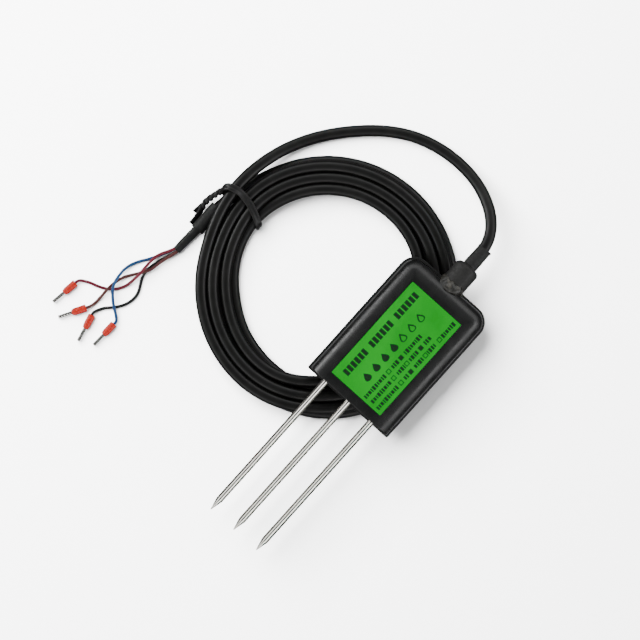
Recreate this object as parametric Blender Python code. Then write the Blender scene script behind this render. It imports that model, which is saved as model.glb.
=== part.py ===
"""Soil moisture sensor: three steel probes on a potted plastic case, with a long lead in a tied coil.

Sizes are in metres. +Y runs from the probe tips towards the lead, +X across the case and +Z out of the
label. The origin is the middle of the rigid part's box, in the plane that holds the probes' axes. The sensor
lies with its case on the coil, and the coil lies on the ground.
"""

import math

import bmesh
import bpy
import numpy as np
from mathutils import Matrix, Vector

MM = 0.001
GAP = 0.3 * MM  # clearance between two pieces that touch

# Driving sizes of the rigid part
CASE_WIDTH = 44.5 * MM
CASE_LENGTH = 66.0 * MM
CASE_HEIGHT = 15.0 * MM
CORNER_RADIUS = 7.3 * MM
COVER_THICKNESS = 1.9 * MM
LIP = 0.8 * MM  # how far the rear cover stands out past the front case
WALL = 2.0 * MM
SOIL_WALL = 3.0 * MM  # the wall that the probes pass through
PROBE_RADIUS = 1.5 * MM
PROBE_LENGTH = 71.0 * MM  # past the case
PROBE_SPACING = 12.7 * MM
PROBE_TIP_LENGTH = 5.4 * MM
PROBE_TIP_RADIUS = 0.2 * MM
PROBE_ROOT = 13.7 * MM  # length held inside the case
PROBE_BORE = PROBE_RADIUS + GAP
BOSS_LENGTH = 10.3 * MM
BOSS_RADIUS = 5.5 * MM
LABEL_SIZE = (27.1 * MM, 50.5 * MM)
LABEL_THICKNESS = 0.4 * MM
LABEL_TOP = 0.05 * MM  # how far the label lies below the case's face
LABEL_MARGIN = 5.25 * MM  # from the case's probe end
RECESS_DEPTH = 0.6 * MM

# Driving sizes of the lead
CABLE_RADIUS = 2.5 * MM
CABLE_BORE = CABLE_RADIUS + GAP
CORE_RADIUS = 0.65 * MM
COIL_CENTRE = (-38.5 * MM, 27.65 * MM)
COIL_INNER = 37.5 * MM
COIL_OUTER = 54.0 * MM
COIL_HEIGHT = 9.7 * MM
COIL_EDGE = 4.0 * MM
COIL_SIDES = 64
TIE_Y = 28.35 * MM
TIE_WIRE_RADIUS = 0.5 * MM

# Places that follow from the sizes
TOTAL_LENGTH = PROBE_LENGTH + CASE_LENGTH + BOSS_LENGTH
TIP_Y = -TOTAL_LENGTH / 2
SOIL_Y = TIP_Y + PROBE_LENGTH
CABLE_Y = SOIL_Y + CASE_LENGTH
BOSS_Y = CABLE_Y + BOSS_LENGTH
BACK_Z = -CASE_HEIGHT / 2
TOP_Z = CASE_HEIGHT / 2
FOOT_Z = BACK_Z + COVER_THICKNESS + GAP  # underside of the front case
GROUND_Z = BACK_Z - GAP - COIL_HEIGHT

# The front case's outside, as height above its foot and distance in from the cover's outline
CASE_SECTION = [
    (0.0 * MM, 0.8 * MM),
    (7.6 * MM, 1.4 * MM),
    (9.3 * MM, 2.0 * MM),
    (10.5 * MM, 3.1 * MM),
    (11.65 * MM, 4.7 * MM),
    (12.4 * MM, 6.6 * MM),
    (12.75 * MM, 8.0 * MM),
    (TOP_Z - FOOT_Z, 8.3 * MM),
]
# The cavity in it, measured the same way
CAVITY_SECTION = [
    (0.0 * MM, 2.8 * MM),
    (6.6 * MM, 3.4 * MM),
    (8.6 * MM, 4.6 * MM),
    (9.9 * MM, 7.2 * MM),
    (10.7 * MM, 9.2 * MM),
]

# The circuit board lies under the probes
BOARD_TOP = -2.4 * MM
BOARD_THICKNESS = 1.6 * MM
BOARD_WIDTH = 32.0 * MM
BOARD_START = 3.5 * MM
BOARD_END = 50.0 * MM
JACKET_END = 51.3 * MM  # where the cable's jacket stops inside the case
SEAT_Z = BOARD_TOP + GAP  # underside of what is soldered to the board

ROUND_SIDES = 16
SMOOTH_SIDES = 24


def clear_scene():
    for old in list(bpy.data.objects):
        bpy.data.objects.remove(old, do_unlink=True)


def material(name, colour, roughness, metallic=0.0):
    """A Principled material of one colour."""
    made = bpy.data.materials.new(name)
    made.use_nodes = True
    shader = made.node_tree.nodes["Principled BSDF"]
    shader.inputs["Base Color"].default_value = (*colour, 1.0)
    shader.inputs["Roughness"].default_value = roughness
    shader.inputs["Metallic"].default_value = metallic
    return made


def add(name, data, look, place=(0.0, 0.0, 0.0), turn=0.0):
    """Put a mesh or curve in the scene as one named piece."""
    piece = bpy.data.objects.new(name, data)
    piece.location = place
    piece.rotation_euler = (0.0, 0.0, turn)
    if look:
        data.materials.append(look)
    bpy.context.scene.collection.objects.link(piece)
    return piece


def finish_mesh(name, bm, smooth_angle=None):
    """Turn a bmesh into a mesh with its faces out, smooth where the angle asks for it."""
    bmesh.ops.remove_doubles(bm, verts=bm.verts, dist=1e-7)
    bmesh.ops.recalc_face_normals(bm, faces=bm.faces)
    mesh = bpy.data.meshes.new(name)
    bm.to_mesh(mesh)
    bm.free()
    if smooth_angle:
        mesh.shade_smooth()
        mesh.set_sharp_from_angle(angle=math.radians(smooth_angle))
    return mesh


def loft(name, rings, closed=False, smooth_angle=None):
    """A body over rings of equal length. The first and last are filled, or joined if closed."""
    bm = bmesh.new()
    loops = [[bm.verts.new(point) for point in ring] for ring in rings]
    pairs = list(zip(loops, loops[1:]))
    if closed:
        pairs.append((loops[-1], loops[0]))
    else:
        bm.faces.new(loops[0])
        bm.faces.new(loops[-1])
    for lower, upper in pairs:
        for i, vert in enumerate(lower):
            j = (i + 1) % len(lower)
            bm.faces.new((vert, lower[j], upper[j], upper[i]))
    return finish_mesh(name, bm, smooth_angle)


def turned(name, profile, sides=ROUND_SIDES, closed=False):
    """A body turned about the Y axis from (along, radius) pairs."""
    angles = [math.tau * i / sides for i in range(sides)]
    rings = [[(r * math.cos(a), y, r * math.sin(a)) for a in angles] for y, r in profile]
    return loft(name, rings, closed, smooth_angle=40)


def block(name, low, high, bevel=0.0):
    """A box between two corners, with its edges bevelled if asked."""
    bm = bmesh.new()
    bmesh.ops.create_cube(bm, size=1.0)
    low, high = Vector(low), Vector(high)
    bmesh.ops.scale(bm, vec=high - low, verts=bm.verts)
    bmesh.ops.translate(bm, vec=(low + high) / 2, verts=bm.verts)
    if bevel:
        bmesh.ops.bevel(bm, geom=bm.edges[:], offset=bevel, segments=1, affect="EDGES")
    return finish_mesh(name, bm)


def combine(piece, tool, operation):
    """Apply a hidden tool to a piece with an exact Boolean."""
    tool.hide_render = True
    tool.display_type = "WIRE"
    step = piece.modifiers.new(tool.name, "BOOLEAN")
    step.operation = operation
    step.solver = "EXACT"
    step.object = tool


def cut(piece, name, mesh, place=(0.0, 0.0, 0.0), turn=0.0):
    combine(piece, add(name, mesh, None, place, turn), "DIFFERENCE")


def spline(route, spacing):
    """A natural cubic spline through the route's points, read about every spacing."""
    points = np.array(route)
    ends = np.concatenate(([0.0], np.cumsum(np.linalg.norm(np.diff(points, axis=0), axis=1))))
    step = np.diff(ends)
    last = len(points) - 1
    system = np.eye(last + 1)
    bend = np.zeros_like(points)
    for i in range(1, last):
        system[i, i - 1 : i + 2] = step[i - 1], 2 * (step[i - 1] + step[i]), step[i]
        slope_in = (points[i] - points[i - 1]) / step[i - 1]
        slope_out = (points[i + 1] - points[i]) / step[i]
        bend[i] = 6 * (slope_out - slope_in)
    curve = np.linalg.solve(system, bend)
    at = np.linspace(0.0, ends[-1], max(2, round(ends[-1] / spacing) + 1))
    k = np.clip(np.searchsorted(ends, at, side="right") - 1, 0, last - 1)
    after, before, gap = (at - ends[k])[:, None], (ends[k + 1] - at)[:, None], step[k][:, None]
    read = (curve[k] * before**3 + curve[k + 1] * after**3) / (6 * gap)
    read += (points[k] / gap - curve[k] * gap / 6) * before
    read += (points[k + 1] / gap - curve[k + 1] * gap / 6) * after
    return [tuple(point) for point in read]


def tube(name, points, radius, look, resolution=2):
    """A round tube along the points, with filled ends."""
    data = bpy.data.curves.new(name, "CURVE")
    data.dimensions = "3D"
    data.bevel_depth = radius
    data.bevel_resolution = resolution
    data.render_resolution_u = 0
    data.use_fill_caps = True
    line = data.splines.new("POLY")
    line.points.add(len(points) - 1)
    for target, point in zip(line.points, points):
        target.co = (*point, 1.0)
    return add(name, data, look)


# ---- Case ------------------------------------------------------------------------------------------


def plan(height, side, soil, steps=5):
    """The case's outline at one height: square at the probe end, round at the cable end.

    It is side in from the cover's long sides and cable end, and soil in from its probe end.
    """
    radius = max(CORNER_RADIUS - side, 1.0 * MM)
    x = CASE_WIDTH / 2 - side
    y = CABLE_Y - side - radius
    points = [(-x, SOIL_Y + soil, height), (x, SOIL_Y + soil, height)]
    for centre, start in ((x - radius, 0.0), (radius - x, 90.0)):
        for i in range(steps + 1):
            angle = math.radians(start + 90.0 * i / steps)
            points.append((centre + radius * math.cos(angle), y + radius * math.sin(angle), height))
    return points


def case_rings(section, soil, grow=0.0, steps=5):
    """Outlines up a section, moved out by grow."""
    return [plan(FOOT_Z + up, side - grow, soil - grow, steps) for up, side in section]


def front_case(look):
    """The moulded shell: open at the back, with a shallow recess for the label."""
    outside = case_rings(CASE_SECTION, LIP)
    inside = case_rings(CAVITY_SECTION, LIP + SOIL_WALL)
    case = add("front_case", loft("front_case", inside[::-1] + outside, smooth_angle=35), look)
    half = LABEL_SIZE[0] / 2 + GAP
    start = SOIL_Y + LABEL_MARGIN - GAP
    end = start + LABEL_SIZE[1] + 2 * GAP
    low, high = (-half, start, TOP_Z - RECESS_DEPTH), (half, end, TOP_Z + WALL)
    cut(case, "recess_cutter", block("recess_cutter", low, high))
    for name, x in PROBES:
        bore = turned("bore", [(-WALL, PROBE_BORE), (SOIL_WALL + WALL, PROBE_BORE)])
        cut(case, name + "_bore_cutter", bore, (x, SOIL_Y, 0.0))
    neck = GROMMET_NECK + GAP
    hole = turned("hole", [(CABLE_Y - 4 * WALL, neck), (CABLE_Y + WALL, neck)])
    cut(case, "grommet_hole_cutter", hole)


def rear_cover(look):
    """The flat plate that closes the back, a little larger than the shell."""
    edge = 0.4 * MM
    top = BACK_Z + COVER_THICKNESS
    rings = [
        plan(BACK_Z, edge, edge),
        plan(BACK_Z + edge, 0.0, 0.0),
        plan(top - edge / 2, 0.0, 0.0),
        plan(top, edge / 2, edge / 2),
    ]
    add("rear_cover", loft("rear_cover", rings), look)


def label(look):
    """The printed plate in the recess."""
    start = SOIL_Y + LABEL_MARGIN
    top = TOP_Z - LABEL_TOP
    low = (-LABEL_SIZE[0] / 2, start, top - LABEL_THICKNESS)
    high = (LABEL_SIZE[0] / 2, start + LABEL_SIZE[1], top)
    add("label", block("label", low, high), look)


PROBES = [("probe_left", -PROBE_SPACING), ("probe_centre", 0.0), ("probe_right", PROBE_SPACING)]


def probes(look):
    """The three needles: round rod with a conical tip."""
    profile = [
        (0.0, PROBE_TIP_RADIUS),
        (PROBE_TIP_LENGTH, PROBE_RADIUS),
        (PROBE_LENGTH, PROBE_RADIUS),
        (PROBE_LENGTH + PROBE_ROOT, PROBE_RADIUS),
    ]
    mesh = turned("probe", profile)
    mesh.materials.append(look)
    for name, x in PROBES:
        add(name, mesh, None, (x, TIP_Y, 0.0))


# ---- Inside the case -------------------------------------------------------------------------------

# Parts on the board as name: (x, y, width along X, length along Y, height, leads a side, lead pitch)
PACKAGES = {
    "microcontroller": (-3.0 * MM, 31.0 * MM, 4.4 * MM, 6.5 * MM, 1.2 * MM, 10, 0.65 * MM),
    "op_amp": (-3.5 * MM, 20.0 * MM, 3.9 * MM, 4.9 * MM, 1.5 * MM, 4, 1.27 * MM),
    "output_driver": (6.0 * MM, 31.0 * MM, 3.9 * MM, 4.9 * MM, 1.5 * MM, 4, 1.27 * MM),
    "voltage_regulator": (7.0 * MM, 39.5 * MM, 3.5 * MM, 6.5 * MM, 1.6 * MM, 3, 2.3 * MM),
    "protection_diode": (-7.5 * MM, 40.0 * MM, 3.6 * MM, 4.5 * MM, 2.2 * MM, 1, 0.0),
    "temperature_sensor": (6.35 * MM, 10.5 * MM, 2.9 * MM, 3.0 * MM, 1.3 * MM, 2, 1.6 * MM),
}
# Cans on the board as name: (x, y, radius, height, sides)
CANS = {
    "filter_capacitor_input": (0.0, 40.5 * MM, 2.5 * MM, 5.4 * MM, ROUND_SIDES),
    "filter_capacitor_output": (6.5 * MM, 22.5 * MM, 2.0 * MM, 5.0 * MM, ROUND_SIDES),
    "power_inductor": (12.0 * MM, 30.5 * MM, 3.0 * MM, 3.0 * MM, 8),
    "crystal": (-10.5 * MM, 30.5 * MM, 1.8 * MM, 1.6 * MM, 12),
}
LEAD_REACH = 1.1 * MM
LEAD_THICKNESS = 0.25 * MM
LONE_LEAD_WIDTH = 1.8 * MM
CHIP_BEVEL = 0.12 * MM
BOARD_HOLE_RADIUS = 1.1 * MM
BOARD_HOLE_INSET = 2.6 * MM


def circuit_board(look):
    """A bare board with a mounting hole in each corner, which the potting fills."""
    low = (-BOARD_WIDTH / 2, BOARD_START, BOARD_TOP - BOARD_THICKNESS)
    board = add("circuit_board", block("circuit_board", low, (BOARD_WIDTH / 2, BOARD_END, BOARD_TOP)), look)
    across = BOARD_WIDTH / 2 - BOARD_HOLE_INSET
    hole = [(-2 * BOARD_THICKNESS, BOARD_HOLE_RADIUS), (2 * BOARD_THICKNESS, BOARD_HOLE_RADIUS)]
    for x in (-across, across):
        for y in (BOARD_START + BOARD_HOLE_INSET, BOARD_END - BOARD_HOLE_INSET):
            drill = turned("drill", hole, 12)
            drill.transform(Matrix.Rotation(math.radians(90), 4, "X"))
            cut(board, "board_hole_cutter", drill, (x, y, BOARD_TOP))


def package(name, look, x, y, width, length, height, leads, pitch):
    """A moulded chip with its leads along both long sides."""
    low = (-width / 2, -length / 2, 0.0)
    body = add(name, block(name, low, (width / 2, length / 2, height), CHIP_BEVEL), look, (x, y, SEAT_Z))
    lead_width = pitch / 2 if leads > 1 else LONE_LEAD_WIDTH
    reach = width / 2 + LEAD_REACH
    for i in range(leads):
        at = (i - (leads - 1) / 2) * pitch
        low = (-reach, at - lead_width / 2, 0.35 * height)
        high = (reach, at + lead_width / 2, 0.35 * height + LEAD_THICKNESS)
        tool = add("lead_frame", block("lead_frame", low, high), None, (x, y, SEAT_Z))
        combine(body, tool, "UNION")


def can(name, look, x, y, radius, height, sides):
    """A standing can: capacitor, inductor or crystal."""
    edge = 0.15 * radius
    mesh = turned(name, [(0.0, radius), (height - edge, radius), (height, radius - edge)], sides)
    mesh.transform(Matrix.Rotation(math.radians(90), 4, "X"))
    add(name, mesh, look, (x, y, SEAT_Z))


SOLDER_START = 5.0 * MM
SOLDER_LENGTH = 5.2 * MM
SOLDER_WIDTH = 4.8 * MM
SOLDER_HEIGHT = 1.9 * MM


def solder_joints(look):
    """A fillet of solder along the root of each probe."""
    slope = 0.9 * MM
    for name, x in PROBES:
        rings = []
        for up, shrink in ((0.0, 0.0), (SOLDER_HEIGHT, slope)):
            w, front, back = SOLDER_WIDTH / 2 - shrink, shrink / 2, SOLDER_LENGTH - shrink / 2
            rings.append([(-w, front, up), (w, front, up), (w, back, up), (-w, back, up)])
        joint_name = name.replace("probe", "solder")
        joint = add(joint_name, loft(joint_name, rings), look, (x, SOLDER_START, SEAT_Z))
        groove = turned("groove", [(-WALL, PROBE_BORE), (SOLDER_LENGTH + WALL, PROBE_BORE)])
        cut(joint, joint_name + "_cutter", groove, (x, SOLDER_START, 0.0))


NEST = CORE_RADIUS + GAP / 2  # a core's place off the middle of the jacket
ON_BOARD = SEAT_Z + CORE_RADIUS
LEADS_REACH = 5.5 * MM  # length of the bare cores past the jacket
LEADS_HALF_WIDTH = 6.0 * MM
LEADS_TOP = 1.8 * MM
# Two ways from the jacket to the board, as (share of the way across, distance from the jacket, height)
LOWER_WAY = [
    (0.0, GAP, -NEST),
    (0.35, 1.7 * MM, -1.3 * MM),
    (0.78, 3.5 * MM, ON_BOARD),
    (1.0, LEADS_REACH, ON_BOARD),
]
UPPER_WAY = [
    (0.0, GAP, NEST),
    (0.1, 1.6 * MM, NEST),
    (0.8, 3.7 * MM, -0.5 * MM),
    (1.0, LEADS_REACH, ON_BOARD),
]
# Cores as name: (side of the jacket, way, place of the pad across the board)
CORES = {
    "red": (-1, UPPER_WAY, -1.5 * MM),
    "brown": (1, UPPER_WAY, 1.5 * MM),
    "black": (1, LOWER_WAY, 4.5 * MM),
    "blue": (-1, LOWER_WAY, -4.5 * MM),
}
LEADS_END = JACKET_END - LEADS_REACH


def inner_leads(looks):
    """The cores inside the case, from the cut jacket down to the board."""
    for name, (side, way, pad) in CORES.items():
        start = side * NEST
        route = [(start + share * (pad - start), JACKET_END - back, height) for share, back, height in way]
        tube("inner_lead_" + name, spline(route, 0.9 * MM), CORE_RADIUS, looks[name])


TIE_RING_INNER = CABLE_BORE
TIE_RING_OUTER = 4.1 * MM
INNER_TIE_Y = 55.0 * MM
INNER_TIE_WIDTH = 2.4 * MM
TIE_HEAD_REACH = TIE_RING_OUTER + 1.6 * MM


def inner_cable_tie(look):
    """The clamp on the jacket that stops the lead from being pulled out."""
    band = [
        (0.0, TIE_RING_INNER),
        (0.0, TIE_RING_OUTER),
        (INNER_TIE_WIDTH, TIE_RING_OUTER),
        (INNER_TIE_WIDTH, TIE_RING_INNER),
    ]
    tie = add("inner_cable_tie", turned("inner_cable_tie", band, closed=True), look, (0.0, INNER_TIE_Y, 0.0))
    low = (TIE_RING_INNER + 0.5 * MM, 0.0, -2.0 * MM)
    high = (TIE_HEAD_REACH, INNER_TIE_WIDTH, 2.0 * MM)
    head = add("tie_head", block("tie_head", low, high), None, (0.0, INNER_TIE_Y, 0.0))
    combine(tie, head, "UNION")


def pocket(potting, name, low, high):
    """Leave room in the potting for a box-shaped piece."""
    low = [a - GAP for a in low]
    high = [a + GAP for a in high]
    cut(potting, name + "_pocket", block(name + "_pocket", low, high))


def potting_compound(look):
    """The resin that fills the case round everything in it."""
    section = [(up if up == 0.0 else up - GAP, side + GAP) for up, side in CAVITY_SECTION]
    rings = case_rings(section, LIP + SOIL_WALL + GAP, steps=3)
    potting = add("potting_compound", loft("potting_compound", rings), look)
    half = BOARD_WIDTH / 2
    pocket(potting, "board", (-half, BOARD_START, BOARD_TOP - BOARD_THICKNESS), (half, BOARD_END, BOARD_TOP))
    for name, (x, y, width, length, height, _, _) in PACKAGES.items():
        reach = width / 2 + LEAD_REACH
        low = (x - reach, y - length / 2, BOARD_TOP - GAP)
        pocket(potting, name, low, (x + reach, y + length / 2, SEAT_Z + height))
    for name, (x, y, radius, height, _) in CANS.items():
        low = (x - radius, y - radius, BOARD_TOP - GAP)
        pocket(potting, name, low, (x + radius, y + radius, SEAT_Z + height))
    for name, x in PROBES:
        low = (x - SOLDER_WIDTH / 2, SOLDER_START, BOARD_TOP - GAP)
        high = (x + SOLDER_WIDTH / 2, SOLDER_START + SOLDER_LENGTH, SEAT_Z + SOLDER_HEIGHT + GAP)
        pocket(potting, name, low, high)
        bore = turned("bore", [(SOIL_Y, PROBE_BORE), (SOIL_Y + LIP + PROBE_ROOT, PROBE_BORE)])
        cut(potting, name + "_potting_cutter", bore, (x, 0.0, 0.0))
    low = (-LEADS_HALF_WIDTH, LEADS_END, BOARD_TOP - GAP)
    pocket(potting, "inner_leads", low, (LEADS_HALF_WIDTH, JACKET_END, LEADS_TOP))
    cable = turned("bore", [(JACKET_END - GAP, CABLE_BORE), (CABLE_Y, CABLE_BORE)], SMOOTH_SIDES)
    cut(potting, "cable_cutter", cable)
    low = (-TIE_RING_OUTER, INNER_TIE_Y, -TIE_RING_OUTER)
    high = (TIE_HEAD_REACH, INNER_TIE_Y + INNER_TIE_WIDTH, TIE_RING_OUTER)
    pocket(potting, "inner_cable_tie", low, high)
    low = (-GROMMET_NECK, GROMMET_START, -GROMMET_NECK)
    pocket(potting, "grommet", low, (GROMMET_NECK, CABLE_Y, GROMMET_NECK))


# ---- Cable outlet ----------------------------------------------------------------------------------

GROMMET_NECK = 4.0 * MM
GROMMET_START = CABLE_Y - 5.6 * MM
SLEEVE_RADIUS = 3.2 * MM
SLEEVE_LENGTH = 9.8 * MM
SLEEVE_END = BOSS_Y + SLEEVE_LENGTH


def cable_grommet(look):
    """The rubber boss: a neck through the wall and a round body outside."""
    start = CABLE_Y + GAP
    edge = 0.9 * MM
    profile = [
        (GROMMET_START, CABLE_BORE),
        (GROMMET_START, GROMMET_NECK),
        (start, GROMMET_NECK),
        (start, BOSS_RADIUS - edge / 2),
        (start + edge / 2, BOSS_RADIUS),
        (BOSS_Y - edge, BOSS_RADIUS),
        (BOSS_Y - edge / 3, BOSS_RADIUS - edge / 3),
        (BOSS_Y, BOSS_RADIUS - edge),
        (BOSS_Y, CABLE_BORE),
    ]
    add("cable_grommet", turned("cable_grommet", profile, SMOOTH_SIDES, closed=True), look)


def sealant_bead(look):
    """The bead of sealant in the corner between the boss and the sloping case."""
    inner = BOSS_RADIUS + GAP
    deep, full, thin = CABLE_Y - 3.4 * MM, CABLE_Y + 0.9 * MM, CABLE_Y + 2.2 * MM
    profile = [
        (deep, GROMMET_NECK + GAP),
        (deep, inner + 0.9 * MM),
        (full, inner + 0.9 * MM),
        (thin, inner + 0.2 * MM),
        (thin, inner),
        (CABLE_Y, inner),
        (CABLE_Y, GROMMET_NECK + GAP),
    ]
    bead = add("sealant_bead", turned("sealant_bead", profile, SMOOTH_SIDES, closed=True), look)
    shell = case_rings(CASE_SECTION, LIP, grow=GAP)
    cover = [plan(BACK_Z - GAP, -GAP, -GAP), plan(FOOT_Z, -GAP, -GAP)]
    cut(bead, "case_envelope", loft("case_envelope", cover + shell))


def cable_entry(look):
    """The lead's straight first stretch, inside the case, the boss and the sleeve."""
    profile = [(JACKET_END, CABLE_RADIUS), (SLEEVE_END, CABLE_RADIUS)]
    add("cable_entry", turned("cable_entry", profile, SMOOTH_SIDES), look)


def sleeve(name, start, end, outer, inner, look):
    """A thin tube between two points."""
    start, end = Vector(start), Vector(end)
    length = (end - start).length
    mesh = turned(name, [(0.0, inner), (0.0, outer), (length, outer), (length, inner)], closed=True)
    mesh.transform((end - start).to_track_quat("Y", "Z").to_matrix().to_4x4())
    add(name, mesh, look, start)


def strain_relief_sleeve(look):
    start = (0.0, BOSS_Y + GAP, 0.0)
    end = (0.0, SLEEVE_END, 0.0)
    sleeve("strain_relief_sleeve", start, end, SLEEVE_RADIUS, CABLE_BORE, look)


# ---- Lead ------------------------------------------------------------------------------------------

LYING = GROUND_Z + CABLE_RADIUS  # height of a cable's middle when it lies on the ground
BUNDLE_LOW = GROUND_Z + 3.9 * MM  # the same for the tail where the tie passes under it
BUNDLE_HIGH = BUNDLE_LOW + 2 * CABLE_RADIUS + GAP
LEAD_SPACING = 4 * CABLE_RADIUS

# From the sleeve, round in one wide loop, down to the ground and up into the tie
LOOP_START = (0.0, SLEEVE_END + GAP, 0.0)
LOOP_ROUTE = [
    (0.0, SLEEVE_END + 1.6 * MM, 0.0),
    (-0.7 * MM, 87.8 * MM, -0.5 * MM),
    (-2.9 * MM, 91.6 * MM, -1.9 * MM),
    (-7.0 * MM, 95.6 * MM, -4.2 * MM),
    (-13.8 * MM, 99.9 * MM, -7.4 * MM),
    (-21.8 * MM, 102.7 * MM, -10.5 * MM),
    (-31.7 * MM, 103.8 * MM, -13.4 * MM),
    (-42.0 * MM, 103.0 * MM, LYING),
    (-53.9 * MM, 99.4 * MM, LYING),
    (-64.0 * MM, 93.3 * MM, LYING),
    (-72.9 * MM, 85.2 * MM, LYING),
    (-79.9 * MM, 77.4 * MM, LYING),
    (-85.6 * MM, 69.2 * MM, LYING + 0.3 * MM),
    (-90.2 * MM, 60.0 * MM, LYING + 1.6 * MM),
    (-93.2 * MM, 50.4 * MM, LYING + 3.8 * MM),
    (-94.8 * MM, 40.5 * MM, LYING + 5.8 * MM),
    (-95.3 * MM, 33.0 * MM, BUNDLE_HIGH),
    (-95.3 * MM, TIE_Y, BUNDLE_HIGH),
    (-95.2 * MM, 23.0 * MM, BUNDLE_HIGH),
]
# From under the loop at the tie, straight out along the ground to the end of the jacket
TAIL_ROUTE = [
    (-95.3 * MM, 34.0 * MM, BUNDLE_LOW),
    (-95.3 * MM, TIE_Y, BUNDLE_LOW),
    (-95.3 * MM, 24.5 * MM, LYING + 0.6 * MM),
    (-95.3 * MM, 21.5 * MM, LYING + 0.5 * MM),
    (-95.3 * MM, 16.5 * MM, LYING + 0.5 * MM),
    (-95.3 * MM, 12.0 * MM, LYING + 0.5 * MM),
]
TAIL_SLEEVE_START = (-95.3 * MM, 21.5 * MM, LYING + 0.5 * MM)
TAIL_SLEEVE_END = (-95.3 * MM, 9.5 * MM, LYING + 0.5 * MM)
TAIL_SLEEVE_RADIUS = 2.95 * MM
TAIL_SLEEVE_BORE = CABLE_RADIUS + 0.2 * MM
BOOT_START = (-95.3 * MM, 12.0 * MM - GAP, GROUND_Z + 2.5 * MM)
BOOT_END = (-96.0 * MM, -2.2 * MM, GROUND_Z + 1.95 * MM)
BOOT_RADII = (2.1 * MM, 1.75 * MM)

# What the tie leaves of the ring's section
NECK_TOP = GROUND_Z + 7.7 * MM
NECK_BOTTOM = GROUND_Z + 1.6 * MM
NECK_INSIDE = -78.6 * MM
GROOVE_HALF = 2.4 * MM
# The tie's path round the bundle in X and height above the ground, from the knot over the top and back
TIE_SECTION = [
    (-98.8 * MM, 7.0 * MM),
    (-98.5 * MM, 10.3 * MM),
    (-97.3 * MM, 12.3 * MM),
    (-95.0 * MM, 12.9 * MM),
    (-91.5 * MM, 11.8 * MM),
    (-86.0 * MM, 9.9 * MM),
    (-80.5 * MM, 8.9 * MM),
    (-77.8 * MM, 7.8 * MM),
    (-76.9 * MM, 5.5 * MM),
    (-77.0 * MM, 2.6 * MM),
    (-78.8 * MM, 0.9 * MM),
    (-83.0 * MM, 0.56 * MM),
    (-90.0 * MM, 0.56 * MM),
    (-95.5 * MM, 0.56 * MM),
    (-98.0 * MM, 1.4 * MM),
    (-98.9 * MM, 3.8 * MM),
]
TIE_WRAPS = 2
TIE_STRAND = 0.7 * MM  # half the distance between one pass and the next
TWIST_ROUTE = [
    (-100.0 * MM, 28.2 * MM, GROUND_Z + 6.4 * MM),
    (-100.5 * MM, 25.2 * MM, GROUND_Z + 4.2 * MM),
    (-101.0 * MM, 21.4 * MM, GROUND_Z + 2.4 * MM),
    (-101.2 * MM, 18.4 * MM, GROUND_Z + 1.5 * MM),
    (-100.9 * MM, 16.6 * MM, GROUND_Z + 1.3 * MM),
]
TWIST_RADIUS = TIE_WIRE_RADIUS + GAP / 2
TWIST_TURNS = 3.0


def cable_coil(look):
    """The wound turns as one turned ring, with a groove where the tie pulls them together."""
    half = (COIL_OUTER - COIL_INNER) / 2
    middle = COIL_INNER + half
    centre_z = GROUND_Z + COIL_HEIGHT / 2
    section = []
    for corner in range(4):
        x = (half - COIL_EDGE) * (1 if corner in (0, 3) else -1)
        z = (COIL_HEIGHT / 2 - COIL_EDGE) * (1 if corner in (0, 1) else -1)
        for i in range(4):
            angle = math.radians(90 * corner + 30 * i)
            section.append((middle + x + COIL_EDGE * math.cos(angle), z + COIL_EDGE * math.sin(angle)))
    turns = [math.tau * i / COIL_SIDES for i in range(COIL_SIDES)]
    rings = [[(r * math.cos(a), r * math.sin(a), z) for r, z in section] for a in turns]
    mesh = loft("cable_coil", rings, closed=True, smooth_angle=40)
    coil = add("cable_coil", mesh, look, (*COIL_CENTRE, centre_z))
    far = COIL_CENTRE[0] - COIL_OUTER - WALL
    near = COIL_CENTRE[0] - COIL_INNER + WALL
    slots = {
        "groove_top": ((far, NECK_TOP), (near, BACK_Z)),
        "groove_inside": ((NECK_INSIDE, GROUND_Z - WALL), (near, BACK_Z)),
        "groove_bottom": ((far, GROUND_Z - WALL), (near, NECK_BOTTOM)),
    }
    for name, ((x0, z0), (x1, z1)) in slots.items():
        low, high = (x0, TIE_Y - GROOVE_HALF, z0), (x1, TIE_Y + GROOVE_HALF, z1)
        cut(coil, name, block(name, low, high))


def twisted_end(phase):
    """One of the tie's two ends, wound about the other from the knot outwards."""
    middle = spline(TWIST_ROUTE, 0.6 * MM)
    points = []
    for i, centre in enumerate(middle):
        ahead = Vector(middle[min(i + 1, len(middle) - 1)])
        behind = Vector(middle[max(i - 1, 0)])
        along = (ahead - behind).normalized()
        side = along.cross(Vector((0.0, 0.0, 1.0))).normalized()
        up = side.cross(along)
        angle = phase + math.tau * TWIST_TURNS * i / (len(middle) - 1)
        points.append(Vector(centre) + TWIST_RADIUS * (math.cos(angle) * side + math.sin(angle) * up))
    return points


def twist_tie(look):
    """A wire wrapped twice round the bundle, with its ends twisted together."""
    loops = TIE_SECTION * TIE_WRAPS + TIE_SECTION[:1]
    last = len(loops) - 1
    wrap = []
    for i, (x, up) in enumerate(loops):
        wrap.append((x, TIE_Y + TIE_STRAND * TIE_WRAPS * (1 - 2 * i / last), GROUND_Z + up))
    path = twisted_end(math.pi)[::-1] + spline(wrap, 1.9 * MM) + twisted_end(0.0)
    tube("twist_tie", path, TIE_WIRE_RADIUS, look, resolution=1)


def tail_boot(look):
    """The tube of shrink over the cores, filled, between the jacket and the free cores."""
    start, end = Vector(BOOT_START), Vector(BOOT_END)
    length = (end - start).length
    mesh = turned("tail_boot", [(0.0, BOOT_RADII[0]), (length, BOOT_RADII[1])])
    mesh.transform((end - start).to_track_quat("Y", "Z").to_matrix().to_4x4())
    add("tail_boot", mesh, look, start)


# ---- Free cores and ferrules -----------------------------------------------------------------------

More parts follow.
